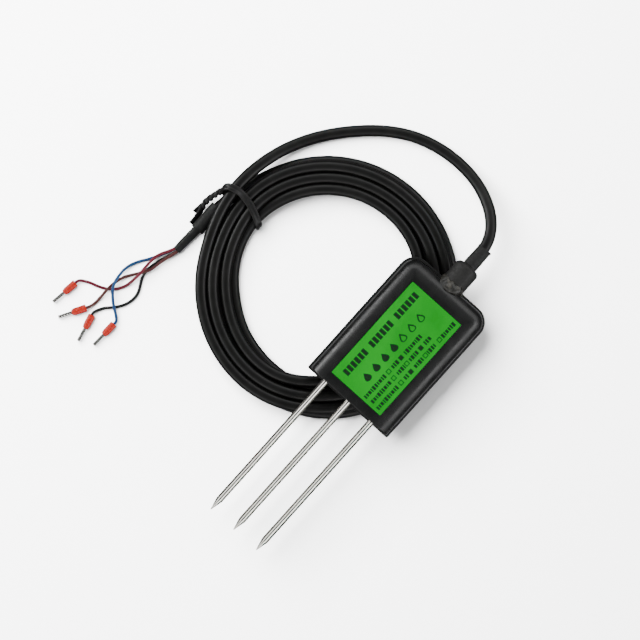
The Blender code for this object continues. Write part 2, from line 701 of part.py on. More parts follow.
# Heights of a core's middle: on the ground, over one other core, and over two
LOW = GROUND_Z + CORE_RADIUS + 0.05 * MM
CROSSING = 1.6 * MM
OVER = LOW + CROSSING
ABOVE = OVER + CROSSING

COLLAR_RADIUS = 1.55 * MM
COLLAR_TIP_RADIUS = 1.15 * MM
COLLAR_LENGTH = 6.4 * MM
COLLAR_STRAIGHT = 5.0 * MM
COLLAR_MOUTH = 1.05 * MM
PIN_RADIUS = 0.75 * MM
PIN_LENGTH = 6.0 * MM
PIN_WAISTS = 4
CORE_ENTRY = 1.0 * MM  # how far a core goes into its collar's mouth

# Each ferrule as (its mouth, a point ahead on its axis)
FERRULES = {
    "red": ((-118.4 * MM, -41.5 * MM), (-119.9 * MM, -52.0 * MM)),
    "brown": ((-108.1 * MM, -46.3 * MM), (-114.2 * MM, -57.0 * MM)),
    "black": ((-104.2 * MM, -46.9 * MM), (-101.2 * MM, -59.2 * MM)),
    "blue": ((-94.9 * MM, -43.5 * MM), (-95.3 * MM, -55.9 * MM)),
}
# Each core from the boot to its ferrule
CORE_ROUTES = {
    "red": [
        (-96.8 * MM, -2.5 * MM, OVER),
        (-98.6 * MM, -6.2 * MM, OVER),
        (-100.1 * MM, -9.0 * MM, OVER),
        (-100.8 * MM, -12.3 * MM, OVER + 0.3 * MM),
        (-100.9 * MM, -16.0 * MM, ABOVE - 0.3 * MM),
        (-100.8 * MM, -19.8 * MM, ABOVE),
        (-101.1 * MM, -24.0 * MM, OVER + 0.2 * MM),
        (-101.9 * MM, -28.1 * MM, LOW + 0.3 * MM),
        (-103.3 * MM, -31.0 * MM, LOW),
        (-105.1 * MM, -33.1 * MM, LOW),
        (-107.6 * MM, -34.9 * MM, LOW),
        (-110.6 * MM, -36.3 * MM, LOW),
        (-113.9 * MM, -37.4 * MM, LOW),
        (-116.4 * MM, -38.6 * MM, LOW + 0.3 * MM),
    ],
    "brown": [
        (-95.2 * MM, -2.5 * MM, OVER),
        (-96.4 * MM, -7.0 * MM, OVER),
        (-97.6 * MM, -11.2 * MM, OVER),
        (-98.3 * MM, -15.0 * MM, OVER),
        (-99.6 * MM, -18.0 * MM, OVER),
        (-101.4 * MM, -20.8 * MM, OVER),
        (-103.3 * MM, -23.6 * MM, OVER - 0.8 * MM),
        (-105.0 * MM, -26.4 * MM, LOW + 0.5 * MM),
        (-105.9 * MM, -29.4 * MM, OVER - 0.4 * MM),
        (-106.5 * MM, -32.3 * MM, OVER),
        (-106.6 * MM, -35.6 * MM, OVER),
        (-106.6 * MM, -39.0 * MM, LOW + 0.6 * MM),
        (-106.8 * MM, -42.8 * MM, LOW + 0.2 * MM),
    ],
    "black": [
        (-95.2 * MM, -2.5 * MM, LOW + 0.2 * MM),
        (-96.7 * MM, -6.4 * MM, LOW),
        (-98.1 * MM, -10.0 * MM, LOW),
        (-99.2 * MM, -13.9 * MM, LOW),
        (-99.7 * MM, -17.5 * MM, LOW),
        (-99.2 * MM, -20.7 * MM, LOW),
        (-97.8 * MM, -23.7 * MM, LOW),
        (-96.4 * MM, -26.4 * MM, LOW),
        (-95.8 * MM, -29.7 * MM, LOW),
        (-96.4 * MM, -33.0 * MM, LOW),
        (-97.9 * MM, -36.2 * MM, LOW),
        (-100.0 * MM, -38.8 * MM, LOW),
        (-102.4 * MM, -41.4 * MM, LOW),
        (-103.9 * MM, -44.0 * MM, LOW + 0.3 * MM),
    ],
    "blue": [
        (-96.8 * MM, -2.5 * MM, LOW + 0.2 * MM),
        (-98.3 * MM, -5.9 * MM, LOW),
        (-99.6 * MM, -8.5 * MM, LOW),
        (-101.7 * MM, -12.6 * MM, LOW),
        (-104.0 * MM, -16.1 * MM, LOW),
        (-105.8 * MM, -19.4 * MM, LOW + 0.2 * MM),
        (-106.8 * MM, -22.8 * MM, LOW + 0.9 * MM),
        (-106.8 * MM, -26.6 * MM, OVER + 0.6 * MM),
        (-106.3 * MM, -29.8 * MM, ABOVE),
        (-105.3 * MM, -32.4 * MM, ABOVE),
        (-103.7 * MM, -34.5 * MM, ABOVE - 0.5 * MM),
        (-101.7 * MM, -36.6 * MM, OVER + 0.3 * MM),
        (-99.7 * MM, -38.2 * MM, OVER),
        (-97.5 * MM, -39.7 * MM, OVER - 0.5 * MM),
        (-95.8 * MM, -41.1 * MM, LOW + 0.8 * MM),
    ],
}


def ferrule_frame(name):
    """A ferrule's mouth and the direction of its axis, with the collar lying on the ground."""
    height = GROUND_Z + COLLAR_RADIUS + 0.05 * MM
    start, end = [Vector((*place, height)) for place in FERRULES[name]]
    return start, (end - start).normalized()


def free_cores(looks):
    for name, route in CORE_ROUTES.items():
        mouth, along = ferrule_frame(name)
        ending = [tuple(mouth - along * 1.2 * MM), tuple(mouth + along * CORE_ENTRY)]
        points = spline(route + ending, 2.2 * MM)
        tube("wire_" + name, points, CORE_RADIUS, looks[name])


def ferrules(collar_look, pin_look):
    """The crimped ends: a plastic collar over a tinned tube pressed into waists."""
    collar = [
        (2.0 * MM, 0.3 * MM),
        (2.0 * MM, COLLAR_MOUTH),
        (0.0, COLLAR_MOUTH),
        (0.0, COLLAR_RADIUS),
        (COLLAR_STRAIGHT, COLLAR_RADIUS),
        (COLLAR_LENGTH, COLLAR_TIP_RADIUS),
    ]
    pin = [(0.0, PIN_RADIUS)]
    for i in range(PIN_WAISTS):
        for share, radius in ((0.35, 0.97), (0.5, 0.8), (0.65, 0.97)):
            pin.append((PIN_LENGTH * (i + share) / PIN_WAISTS, PIN_RADIUS * radius))
    pin.append((PIN_LENGTH, PIN_RADIUS * 0.95))
    for name in CORES:
        mouth, along = ferrule_frame(name)
        facing = along.to_track_quat("Y", "Z").to_matrix().to_4x4()
        collar_mesh = turned("ferrule_collar_" + name, collar)
        collar_mesh.transform(facing)
        add("ferrule_collar_" + name, collar_mesh, collar_look, mouth)
        pin_mesh = turned("ferrule_pin_" + name, pin, 8)
        pin_mesh.transform(facing)
        add("ferrule_pin_" + name, pin_mesh, pin_look, mouth + along * (COLLAR_LENGTH + GAP))


def main():
    clear_scene()
    case_black = material("case_black", (0.022, 0.023, 0.022), 0.42)
    cover_black = material("cover_black", (0.018, 0.019, 0.018), 0.5)
    label_green = material("label_green", (0.03, 0.38, 0.03), 0.35)
    steel = material("steel", (0.72, 0.70, 0.67), 0.22, 1.0)
    rubber = material("rubber", (0.030, 0.030, 0.028), 0.6)
    sealant = material("sealant", (0.10, 0.10, 0.09), 0.35)
    shrink = material("shrink_tube", (0.028, 0.028, 0.027), 0.7)
    jacket = material("cable_jacket", (0.012, 0.012, 0.011), 0.3)
    tie_plastic = material("tie_plastic", (0.02, 0.02, 0.02), 0.45)
    board_green = material("board_green", (0.02, 0.16, 0.05), 0.4)
    chip_black = material("chip_black", (0.02, 0.02, 0.022), 0.5)
    can_metal = material("can_metal", (0.6, 0.6, 0.62), 0.3, 1.0)
    solder = material("solder", (0.55, 0.55, 0.57), 0.35, 1.0)
    resin = material("potting_resin", (0.012, 0.012, 0.013), 0.25)
    collar_red = material("collar_red", (0.87, 0.08, 0.04), 0.4)
    tin = material("tin", (0.74, 0.73, 0.70), 0.3, 1.0)
    cores = {
        "red": material("core_red", (0.36, 0.03, 0.06), 0.4),
        "brown": material("core_brown", (0.13, 0.035, 0.03), 0.4),
        "black": material("core_black", (0.008, 0.008, 0.008), 0.35),
        "blue": material("core_blue", (0.03, 0.12, 0.33), 0.4),
    }

    front_case(case_black)
    rear_cover(cover_black)
    label(label_green)
    probes(steel)

    circuit_board(board_green)
    for name, values in PACKAGES.items():
        package(name, chip_black, *values)
    for name, values in CANS.items():
        can(name, can_metal, *values)
    solder_joints(solder)
    inner_leads(cores)
    inner_cable_tie(tie_plastic)
    potting_compound(resin)

    cable_grommet(rubber)
    sealant_bead(sealant)
    cable_entry(jacket)
    strain_relief_sleeve(shrink)

    tube("cable_loop", [LOOP_START] + spline(LOOP_ROUTE, LEAD_SPACING), CABLE_RADIUS, jacket, resolution=4)
    cable_coil(jacket)
    tube("cable_tail", spline(TAIL_ROUTE, LEAD_SPACING / 2), CABLE_RADIUS, jacket, resolution=4)
    twist_tie(tie_plastic)
    sleeve("tail_sleeve", TAIL_SLEEVE_START, TAIL_SLEEVE_END, TAIL_SLEEVE_RADIUS, TAIL_SLEEVE_BORE, shrink)
    tail_boot(shrink)

    free_cores(cores)
    ferrules(collar_red, tin)


main()
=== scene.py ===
"""The looks of the soil moisture sensor: its lead wound by relaxation, detailed pieces and materials.

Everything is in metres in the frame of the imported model. +Y runs from the probe tips towards the lead, +Z out
of the label, and the coil lies on the ground at GROUND_Z.
"""

import math

import bmesh
import bpy
import numpy as np
from mathutils import Matrix, Vector, noise

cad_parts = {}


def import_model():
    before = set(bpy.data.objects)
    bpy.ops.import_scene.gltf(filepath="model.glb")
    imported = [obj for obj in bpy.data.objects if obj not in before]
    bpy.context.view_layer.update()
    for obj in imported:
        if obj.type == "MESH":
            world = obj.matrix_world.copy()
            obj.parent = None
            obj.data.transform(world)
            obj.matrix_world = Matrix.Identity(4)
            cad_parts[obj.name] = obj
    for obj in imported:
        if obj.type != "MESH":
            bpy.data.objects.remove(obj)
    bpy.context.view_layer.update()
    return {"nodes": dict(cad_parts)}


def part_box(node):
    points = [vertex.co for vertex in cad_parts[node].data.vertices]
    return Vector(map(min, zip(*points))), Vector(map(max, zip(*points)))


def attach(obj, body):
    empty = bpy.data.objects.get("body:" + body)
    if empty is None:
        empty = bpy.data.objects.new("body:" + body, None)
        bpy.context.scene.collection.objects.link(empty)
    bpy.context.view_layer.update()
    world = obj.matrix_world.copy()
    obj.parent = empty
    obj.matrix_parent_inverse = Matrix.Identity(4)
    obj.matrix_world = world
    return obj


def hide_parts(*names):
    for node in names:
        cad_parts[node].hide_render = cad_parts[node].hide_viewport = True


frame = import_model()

MM = 0.001
GAP = 0.3 * MM
ROOT = "root"

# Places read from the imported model
COVER_LOW, COVER_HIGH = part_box("rear_cover")
SHELL_LOW, SHELL_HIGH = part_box("front_case")
LABEL_LOW, LABEL_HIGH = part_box("label")
BOSS_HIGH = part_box("cable_grommet")[1]
SLEEVE_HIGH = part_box("strain_relief_sleeve")[1]
ENTRY_LOW, ENTRY_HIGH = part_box("cable_entry")
COIL_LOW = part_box("cable_coil")[0]

SOIL_Y, CABLE_Y = COVER_LOW[1], COVER_HIGH[1]
BACK_Z, COVER_TOP = COVER_LOW[2], COVER_HIGH[2]
FOOT_Z, TOP_Z = SHELL_LOW[2], SHELL_HIGH[2]
HALF_WIDTH = COVER_HIGH[0]
LIP = SHELL_LOW[1] - SOIL_Y
BOSS_Y, BOSS_RADIUS = BOSS_HIGH[1], BOSS_HIGH[0]
SLEEVE_END, SLEEVE_RADIUS = SLEEVE_HIGH[1], SLEEVE_HIGH[0]
CABLE_RADIUS = ENTRY_HIGH[0]
GROUND_Z = COIL_LOW[2]
LYING = GROUND_Z + CABLE_RADIUS  # height of a cable's middle when it lies on the ground


# ---- Camera, floor and light ----

CAMERA_TURN = math.radians(41.9)
CAMERA_OVER = (-31.5 * MM, 15.5 * MM)
CAMERA_DISTANCE = 1.8
VIEW_WIDTH = 266.7 * MM  # what the picture spans at the probes' height
SENSOR_WIDTH = 36.0
MIDDLE = (-0.02, 0.03, -0.01)  # about the middle of the sensor and its coil


def camera():
    """A camera that looks straight down."""
    data = bpy.data.cameras.new("camera")
    data.sensor_width = SENSOR_WIDTH
    data.lens = SENSOR_WIDTH * CAMERA_DISTANCE / VIEW_WIDTH
    data.clip_start = 0.01
    made = bpy.data.objects.new("camera", data)
    made.location = (*CAMERA_OVER, CAMERA_DISTANCE)
    made.rotation_euler = (0.0, 0.0, CAMERA_TURN)
    put(made)
    bpy.context.scene.camera = made


def in_view(right, up, height):
    """A place given by its distances right and up from the picture's middle, and its height."""
    c, s = math.cos(CAMERA_TURN), math.sin(CAMERA_TURN)
    x = CAMERA_OVER[0] + right * c - up * s
    y = CAMERA_OVER[1] + right * s + up * c
    return Vector((x, y, height))


def put(item):
    """Put an object in the scene."""
    bpy.context.scene.collection.objects.link(item)


def give(node, **values):
    """Set a node's inputs, named with an underline for each space."""
    for name, value in values.items():
        node.inputs[name.replace("_", " ")].default_value = value


def softbox(name, place, size, power, target=MIDDLE):
    """A rectangular light that faces the target."""
    data = bpy.data.lights.new(name, "AREA")
    data.shape = "RECTANGLE"
    data.size, data.size_y = size
    data.energy = power
    made = bpy.data.objects.new(name, data)
    made.location = place
    made.rotation_euler = (Vector(target) - place).to_track_quat("-Z", "Y").to_euler()
    put(made)
    return made


FLOOR_POWER = 110.0
OVERHEAD_POWER = 1.0
# Panels that stand round the scene: how far off, from what height to what height, and their power
PANELS = 8
PANEL_DISTANCE = 2.0
PANEL_LOW, PANEL_HIGH = 0.30, 1.32
PANEL_POWER = 9.0
# Two long softboxes over the probes: the place of the right-hand one, which the left-hand one mirrors, the
# place that both face, their size, and the power of each by its side
STRIP_PLACE = (0.63, -0.03, 0.777)
STRIP_TARGET = (0.0, -0.03, 0.0)
STRIP_SIZE = (1.4, 0.44)
STRIP_POWERS = {-1: 5.0, 1: 9.0}
# The tent's brightness by the height of the direction: -1 is straight down, 0 the horizon and 1 overhead
TENT = [
    (-1.0, 0.42), (-0.94, 0.40), (-0.86, 0.10), (0.42, 0.14),
    (0.62, 0.6), (0.82, 0.45), (0.94, 0.28), (1.0, 0.2),
]


def world():
    """A dim studio tent: brightest partway up, dark round the horizon and pale again straight below."""
    made = bpy.data.worlds.new("tent")
    made.use_nodes = True
    nodes, links = made.node_tree.nodes, made.node_tree.links
    place = nodes.new("ShaderNodeTexCoord")
    split = nodes.new("ShaderNodeSeparateXYZ")
    spread = nodes.new("ShaderNodeMapRange")
    give(spread, From_Min=-1.0)
    ramp = nodes.new("ShaderNodeValToRGB")
    elements = ramp.color_ramp.elements
    while len(elements) < len(TENT):
        elements.new(0.5)
    for element, (height, light) in zip(elements, TENT):
        element.position = (1 + height) / 2
        element.color = (light, light * 1.005, light * 1.015, 1.0)
    links.new(place.outputs["Generated"], split.inputs["Vector"])
    links.new(split.outputs["Z"], spread.inputs["Value"])
    links.new(spread.outputs["Result"], ramp.inputs["Fac"])
    links.new(ramp.outputs["Color"], nodes["Background"].inputs["Color"])
    bpy.context.scene.world = made


def floor():
    """A pale sheet, lit by one more softbox that reaches nothing else."""
    bm = bmesh.new()
    bmesh.ops.create_grid(bm, x_segments=1, y_segments=1, size=3.0)
    mesh = bpy.data.meshes.new("floor")
    bm.to_mesh(mesh)
    bm.free()
    look = bpy.data.materials.new("floor_white")
    look.use_nodes = True
    shader = look.node_tree.nodes["Principled BSDF"]
    give(shader, Base_Color=(0.93, 0.93, 0.93, 1.0), Roughness=0.8, Specular_IOR_Level=0.1)
    mesh.materials.append(look)
    made = bpy.data.objects.new("floor", mesh)
    made.location = (0.0, 0.0, GROUND_Z)
    made.visible_glossy = False
    made.visible_diffuse = False
    put(made)
    only_floor = bpy.data.collections.new("lit_by_floor_softbox")
    only_floor.objects.link(made)
    light = softbox("softbox_floor", in_view(-0.45, 0.45, 0.75), (0.9, 0.9), FLOOR_POWER)
    light.light_linking.receiver_collection = only_floor


def sort_lights(shiny, side_lights):
    """Light the shiny metal from two strips alone, so that its edges stay dark.

    The panels and side lights reach everything else.
    """
    all_else = bpy.data.collections.new("lit_from_sides")
    only_metal = bpy.data.collections.new("lit_by_strips")
    for piece in shiny:
        all_else.objects.link(piece)
        only_metal.objects.link(piece)
    for item in all_else.collection_objects:
        item.light_linking.link_state = "EXCLUDE"
    height = PANEL_HIGH - PANEL_LOW
    middle = PANEL_LOW + height / 2
    width = 2 * PANEL_DISTANCE * math.tan(math.pi / PANELS)
    for i in range(PANELS):
        turn = 2 * math.pi * i / PANELS
        place = Vector((PANEL_DISTANCE * math.cos(turn), PANEL_DISTANCE * math.sin(turn), middle))
        panel = softbox(f"panel_{i}", place, (width, height), PANEL_POWER, (0.0, 0.0, middle))
        panel.visible_camera = False
        panel.light_linking.receiver_collection = all_else
    for light in side_lights:
        light.light_linking.receiver_collection = all_else
    for side, power in STRIP_POWERS.items():
        name = "strip_left" if side < 0 else "strip_right"
        place = Vector((side * STRIP_PLACE[0], *STRIP_PLACE[1:]))
        strip = softbox(name, place, STRIP_SIZE, power, STRIP_TARGET)
        strip.visible_camera = False
        strip.light_linking.receiver_collection = only_metal


camera()
world()
floor()
side_lights = [
    softbox("softbox_left", in_view(-0.75, 0.35, 0.18), (0.6, 0.18), 2.5),
    softbox("softbox_right", in_view(0.75, -0.30, 0.34), (0.6, 0.30), 1.0),
]
overhead = softbox("softbox_overhead", in_view(-0.1, 0.1, 1.2), (0.8, 0.8), OVERHEAD_POWER)
overhead.visible_glossy = False


# ---- Procedural materials ----


class Look:
    """One procedural material, built round its Principled shader."""

    def __init__(self, name, metallic=0.0, specular=0.5):
        self.material = bpy.data.materials.new(name)
        self.material.use_nodes = True
        self.tree = self.material.node_tree
        self.shader = self.tree.nodes["Principled BSDF"]
        give(self.shader, Metallic=metallic, Specular_IOR_Level=specular)
        self.place = self.new("ShaderNodeTexCoord").outputs["Object"]
        self.normal = None

    def new(self, kind):
        return self.tree.nodes.new(kind)

    def noise(self, size, detail=3.0, stretch=(1.0, 1.0, 1.0)):
        """Noise with features about size across, drawn out along the axes by stretch."""
        mapping = self.new("ShaderNodeMapping")
        give(mapping, Scale=[1.0 / (size * share) for share in stretch])
        self.tree.links.new(self.place, mapping.inputs["Vector"])
        texture = self.new("ShaderNodeTexNoise")
        give(texture, Scale=1.0, Detail=detail)
        self.tree.links.new(mapping.outputs["Vector"], texture.inputs["Vector"])
        return texture.outputs["Fac"]

    def colour(self, factor, *stops):
        """Base colour through the stops as the factor goes over the noise's usual range."""
        ramp = self.new("ShaderNodeValToRGB")
        elements = ramp.color_ramp.elements
        while len(elements) < len(stops):
            elements.new(0.5)
        for i, (element, stop) in enumerate(zip(elements, stops)):
            element.position = 0.34 + 0.32 * i / (len(stops) - 1)
            element.color = (*stop, 1.0)
        self.tree.links.new(factor, ramp.inputs["Fac"])
        self.tree.links.new(ramp.outputs["Color"], self.shader.inputs["Base Color"])

    def roughness(self, factor, low, high):
        spread = self.new("ShaderNodeMapRange")
        give(spread, From_Min=0.32, From_Max=0.68, To_Min=low, To_Max=high)
        self.tree.links.new(factor, spread.inputs["Value"])
        self.tree.links.new(spread.outputs["Result"], self.shader.inputs["Roughness"])

    def relief(self, factor, depth):
        """Bumps of that depth, on top of any relief before."""
        bump = self.new("ShaderNodeBump")
        give(bump, Strength=1.0, Distance=depth)
        self.tree.links.new(factor, bump.inputs["Height"])
        if self.normal:
            self.tree.links.new(self.normal, bump.inputs["Normal"])
        self.normal = bump.outputs["Normal"]
        self.tree.links.new(self.normal, self.shader.inputs["Normal"])


def surface(name, colours, rough, blotch, grain, depth, stretch=(1, 1, 1), metallic=0.0, specular=0.5):
    """A material with blotches of colour and roughness, and a fine grain of that depth."""
    look = Look(name, metallic, specular)
    look.colour(look.noise(blotch, 4.0, stretch), *colours)
    look.roughness(look.noise(0.6 * blotch, 3.0, stretch), *rough)
    look.relief(look.noise(grain, 2.0, stretch), depth)
    return look


def case_plastic(name, rough):
    """Satin black moulding: handled, slightly uneven, with a fine grain."""
    blacks = [(0.006, 0.0063, 0.0062), (0.011, 0.0115, 0.0112)]
    look = surface(name, blacks, rough, 7 * MM, 0.16 * MM, 0.002 * MM)
    look.relief(look.noise(6 * MM, 2.0), 0.07 * MM)
    return look.material


def label_film():
    greens = [(0.001, 0.40, 0.015), (0.002, 0.45, 0.018), (0.004, 0.49, 0.022)]
    look = surface("label_film", greens, (0.38, 0.5), 12 * MM, 0.25 * MM, 0.003 * MM, specular=0.2)
    return look.material


def label_ink():
    inks = [(0.002, 0.022, 0.004), (0.005, 0.05, 0.009)]
    return surface("label_ink", inks, (0.45, 0.6), 0.5 * MM, 0.1 * MM, 0.004 * MM, specular=0.3).material


def ground_steel():
    """Stainless rod: fine grinding lines round it, and a few longer marks along it."""
    metals = [(0.62, 0.60, 0.55), (0.68, 0.66, 0.61), (0.73, 0.71, 0.66)]
    look = surface("ground_steel", metals, (0.10, 0.20), 1.2 * MM, 0.05 * MM, 0.0004 * MM, (1, 6, 1), 1.0)
    look.relief(look.noise(0.12 * MM, 2.0, (8, 1, 8)), 0.0008 * MM)
    return look.material


def rubber(name, dark, light):
    """Matte moulded rubber or shrink tube."""
    look = surface(name, [dark, light], (0.55, 0.72), 1.6 * MM, 0.12 * MM, 0.012 * MM)
    look.relief(look.noise(1.5 * MM, 2.0, (1, 4, 1)), 0.10 * MM)
    return look.material


def glue():
    """Cloudy sealant, clear in places and dusty in others."""
    clouds = [(0.012, 0.012, 0.010), (0.026, 0.025, 0.021), (0.085, 0.080, 0.068)]
    look = surface("glue", clouds, (0.18, 0.40), 2.6 * MM, 0.5 * MM, 0.02 * MM)
    look.relief(look.noise(1.8 * MM, 2.0), 0.15 * MM)
    return look.material


def pvc():
    """The lead's jacket: smooth extruded PVC, very slightly wavy."""
    blacks = [(0.004, 0.004, 0.0037), (0.008, 0.008, 0.0073)]
    look = surface("pvc_jacket", blacks, (0.28, 0.40), 6 * MM, 0.1 * MM, 0.001 * MM, specular=0.38)
    look.relief(look.noise(3.5 * MM, 2.0), 0.07 * MM)
    return look.material


def tinted(name, colours, rough=(0.3, 0.45), blotch=1.5 * MM, grain=0.08 * MM, depth=0.001 * MM, **kind):
    return surface(name, colours, rough, blotch, grain, depth, **kind).material


CASE = case_plastic("case_plastic", (0.20, 0.34))
COVER = case_plastic("cover_plastic", (0.42, 0.58))
FILM = label_film()
INK = label_ink()
STEEL = ground_steel()
BOSS = rubber("boss_rubber", (0.011, 0.011, 0.010), (0.019, 0.019, 0.0175))
SHRINK = rubber("shrink_tube", (0.008, 0.0085, 0.008), (0.014, 0.015, 0.0137))
GLUE = glue()
PVC = pvc()
TIE = tinted("tie_plastic", [(0.006, 0.006, 0.006), (0.012, 0.012, 0.012)], (0.32, 0.46), specular=0.45)
COLLAR = tinted("collar_plastic", [(0.74, 0.018, 0.006), (0.84, 0.034, 0.012)], (0.2, 0.3), specular=0.55)
TIN = tinted("tinned_copper", [(0.26, 0.26, 0.24), (0.56, 0.55, 0.52)], (0.08, 0.18), 0.5 * MM, metallic=1.0)
CORES = {
    "red": tinted("red_insulation", [(0.19, 0.012, 0.030), (0.26, 0.02, 0.045)]),
    "brown": tinted("brown_insulation", [(0.11, 0.028, 0.026), (0.15, 0.042, 0.036)]),
    "black": tinted("black_insulation", [(0.003, 0.003, 0.003), (0.007, 0.007, 0.007)]),
    "blue": tinted("blue_insulation", [(0.016, 0.08, 0.25), (0.025, 0.11, 0.32)]),
}


# ---- Mesh and curve helpers ----


def add(name, data, look):
    """Put a mesh or curve in the scene as one piece that rides on the sensor."""
    piece = bpy.data.objects.new(name, data)
    data.materials.append(look)
    put(piece)
    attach(piece, ROOT)
    return piece


def finish_mesh(name, bm, smooth_angle=40):
    """Turn a bmesh into a mesh with its faces out, smooth below the angle."""
    bmesh.ops.remove_doubles(bm, verts=bm.verts, dist=1e-7)
    bmesh.ops.recalc_face_normals(bm, faces=bm.faces)
    mesh = bpy.data.meshes.new(name)
    bm.to_mesh(mesh)
    bm.free()
    mesh.shade_smooth()
    mesh.set_sharp_from_angle(angle=math.radians(smooth_angle))
    return mesh


def loft(name, rings, closed=False, smooth_angle=40):
    """A body over rings of equal length. The first and last are filled, or joined if closed."""
    bm = bmesh.new()
    loops = [[bm.verts.new(point) for point in ring] for ring in rings]
    pairs = list(zip(loops, loops[1:]))
    if closed:
        pairs.append((loops[-1], loops[0]))
    else:
        bm.faces.new(loops[0])
        bm.faces.new(loops[-1])
    for lower, upper in pairs:
        for i, vert in enumerate(lower):
            j = (i + 1) % len(lower)
            bm.faces.new((vert, lower[j], upper[j], upper[i]))
    return finish_mesh(name, bm, smooth_angle)


def turned(name, profile, sides=56, closed=False):
    """A body turned about the Y axis from (along, radius) pairs."""
    angles = [math.tau * i / sides for i in range(sides)]
    rings = [[(r * math.cos(a), y, r * math.sin(a)) for a in angles] for y, r in profile]
    return loft(name, rings, closed)


def filleted(profile, radius, steps=5):
    """The profile with each inner corner rounded."""
    made = [profile[0]]
    for before, corner, after in zip(profile, profile[1:], profile[2:]):
        corner = Vector(corner)
        back, ahead = Vector(before) - corner, Vector(after) - corner
        reach = min(radius, 0.45 * back.length, 0.45 * ahead.length)
        start, end = corner + back.normalized() * reach, corner + ahead.normalized() * reach
        for i in range(steps + 1):
            t = i / steps
            point = start * (1 - t) ** 2 + corner * 2 * t * (1 - t) + end * t**2
            made.append(tuple(point))
    made.append(profile[-1])
    return made


def roughened(mesh, size, depth, seed=0.0):
    """Move the mesh's points along their normals by noise."""
    shift = Vector((seed, seed, seed))
    moves = [v.normal * depth * noise.noise(v.co / size + shift) for v in mesh.vertices]
    for vert, move in zip(mesh.vertices, moves):
        vert.co += move
    return mesh


def aimed(mesh, start, end):
    """Turn a mesh made along +Y so that it runs from start towards end."""
    start, end = Vector(start), Vector(end)
    turn = (end - start).to_track_quat("Y", "Z").to_matrix().to_4x4()
    mesh.transform(Matrix.Translation(start) @ turn)
    return mesh


def carve(piece, tools):
    """Cut the tools' meshes out of a piece, with the result applied."""
    for mesh in tools:
        tool = bpy.data.objects.new("tool", mesh)
        put(tool)
        step = piece.modifiers.new("cut", "BOOLEAN")
        step.operation = "DIFFERENCE"
        step.solver = "EXACT"
        step.object = tool
        bpy.context.view_layer.update()
        result = bpy.data.meshes.new_from_object(piece.evaluated_get(bpy.context.evaluated_depsgraph_get()))
        piece.modifiers.clear()
        piece.data = result
        bpy.data.objects.remove(tool, do_unlink=True)
    piece.data.set_sharp_from_angle(angle=math.radians(35))


def spline(route, spacing):
    """A natural cubic spline through the route's points, read about every spacing."""
    points = np.array(route, dtype=float)
    ends = np.concatenate(([0.0], np.cumsum(np.linalg.norm(np.diff(points, axis=0), axis=1))))
    step = np.diff(ends)
    last = len(points) - 1
    system = np.eye(last + 1)
    bend = np.zeros_like(points)
    for i in range(1, last):
        system[i, i - 1 : i + 2] = step[i - 1], 2 * (step[i - 1] + step[i]), step[i]
        slope_in = (points[i] - points[i - 1]) / step[i - 1]
        slope_out = (points[i + 1] - points[i]) / step[i]
        bend[i] = 6 * (slope_out - slope_in)
    curve = np.linalg.solve(system, bend)
    at = np.linspace(0.0, ends[-1], max(2, round(ends[-1] / spacing) + 1))
    k = np.clip(np.searchsorted(ends, at, side="right") - 1, 0, last - 1)
    after, before, gap = (at - ends[k])[:, None], (ends[k + 1] - at)[:, None], step[k][:, None]
    read = (curve[k] * before**3 + curve[k + 1] * after**3) / (6 * gap)
    read += (points[k] / gap - curve[k] * gap / 6) * before
    read += (points[k + 1] / gap - curve[k + 1] * gap / 6) * after
    return read


def tube(name, points, radius, look, resolution=6):
    """A round tube along the points, with filled ends."""
    data = bpy.data.curves.new(name, "CURVE")
    data.dimensions = "3D"
    data.bevel_depth = radius
    data.bevel_resolution = resolution
    data.use_fill_caps = True
    line = data.splines.new("POLY")
    line.points.add(len(points) - 1)
    for target, point in zip(line.points, points):
        target.co = (*point, 1.0)
    line.use_smooth = True
    return add(name, data, look)


def smoothstep(x):
    x = np.clip(x, 0.0, 1.0)
    return x * x * (3 - 2 * x)


def length_of(points):
    return float(np.linalg.norm(np.diff(np.array(points), axis=0), axis=1).sum())


# ---- The lead ----

TIE_Y = 28.35 * MM
BUNDLE_LOW = GROUND_Z + 3.9 * MM
BUNDLE_HIGH = BUNDLE_LOW + 2 * CABLE_RADIUS + GAP
# From inside the case, out of the sleeve and round in one wide loop, down to the ground and up into the tie
LOOP_ROUTE = [
    (0.0, ENTRY_LOW[1], 0.0),
    (0.0, 60.0 * MM, 0.0),
    (0.0, BOSS_Y, 0.0),
    (0.0, SLEEVE_END + 1.6 * MM, 0.0),
    (-0.7 * MM, 87.8 * MM, -0.5 * MM),
    (-2.9 * MM, 91.6 * MM, -1.9 * MM),
    (-7.0 * MM, 95.6 * MM, -4.2 * MM),
    (-13.8 * MM, 99.9 * MM, -7.4 * MM),
    (-21.8 * MM, 102.7 * MM, -10.5 * MM),
    (-31.7 * MM, 103.8 * MM, -13.4 * MM),
    (-42.0 * MM, 103.0 * MM, LYING),
    (-53.9 * MM, 99.4 * MM, LYING),
    (-64.0 * MM, 93.3 * MM, LYING),
    (-72.9 * MM, 85.2 * MM, LYING),
    (-79.9 * MM, 77.4 * MM, LYING),
    (-85.6 * MM, 69.2 * MM, LYING + 0.3 * MM),
    (-90.2 * MM, 60.0 * MM, LYING + 1.6 * MM),
    (-93.2 * MM, 50.4 * MM, LYING + 3.8 * MM),
    (-94.8 * MM, 40.5 * MM, LYING + 5.8 * MM),
    (-95.3 * MM, 33.0 * MM, BUNDLE_HIGH),
    (-95.3 * MM, TIE_Y, BUNDLE_HIGH),
]
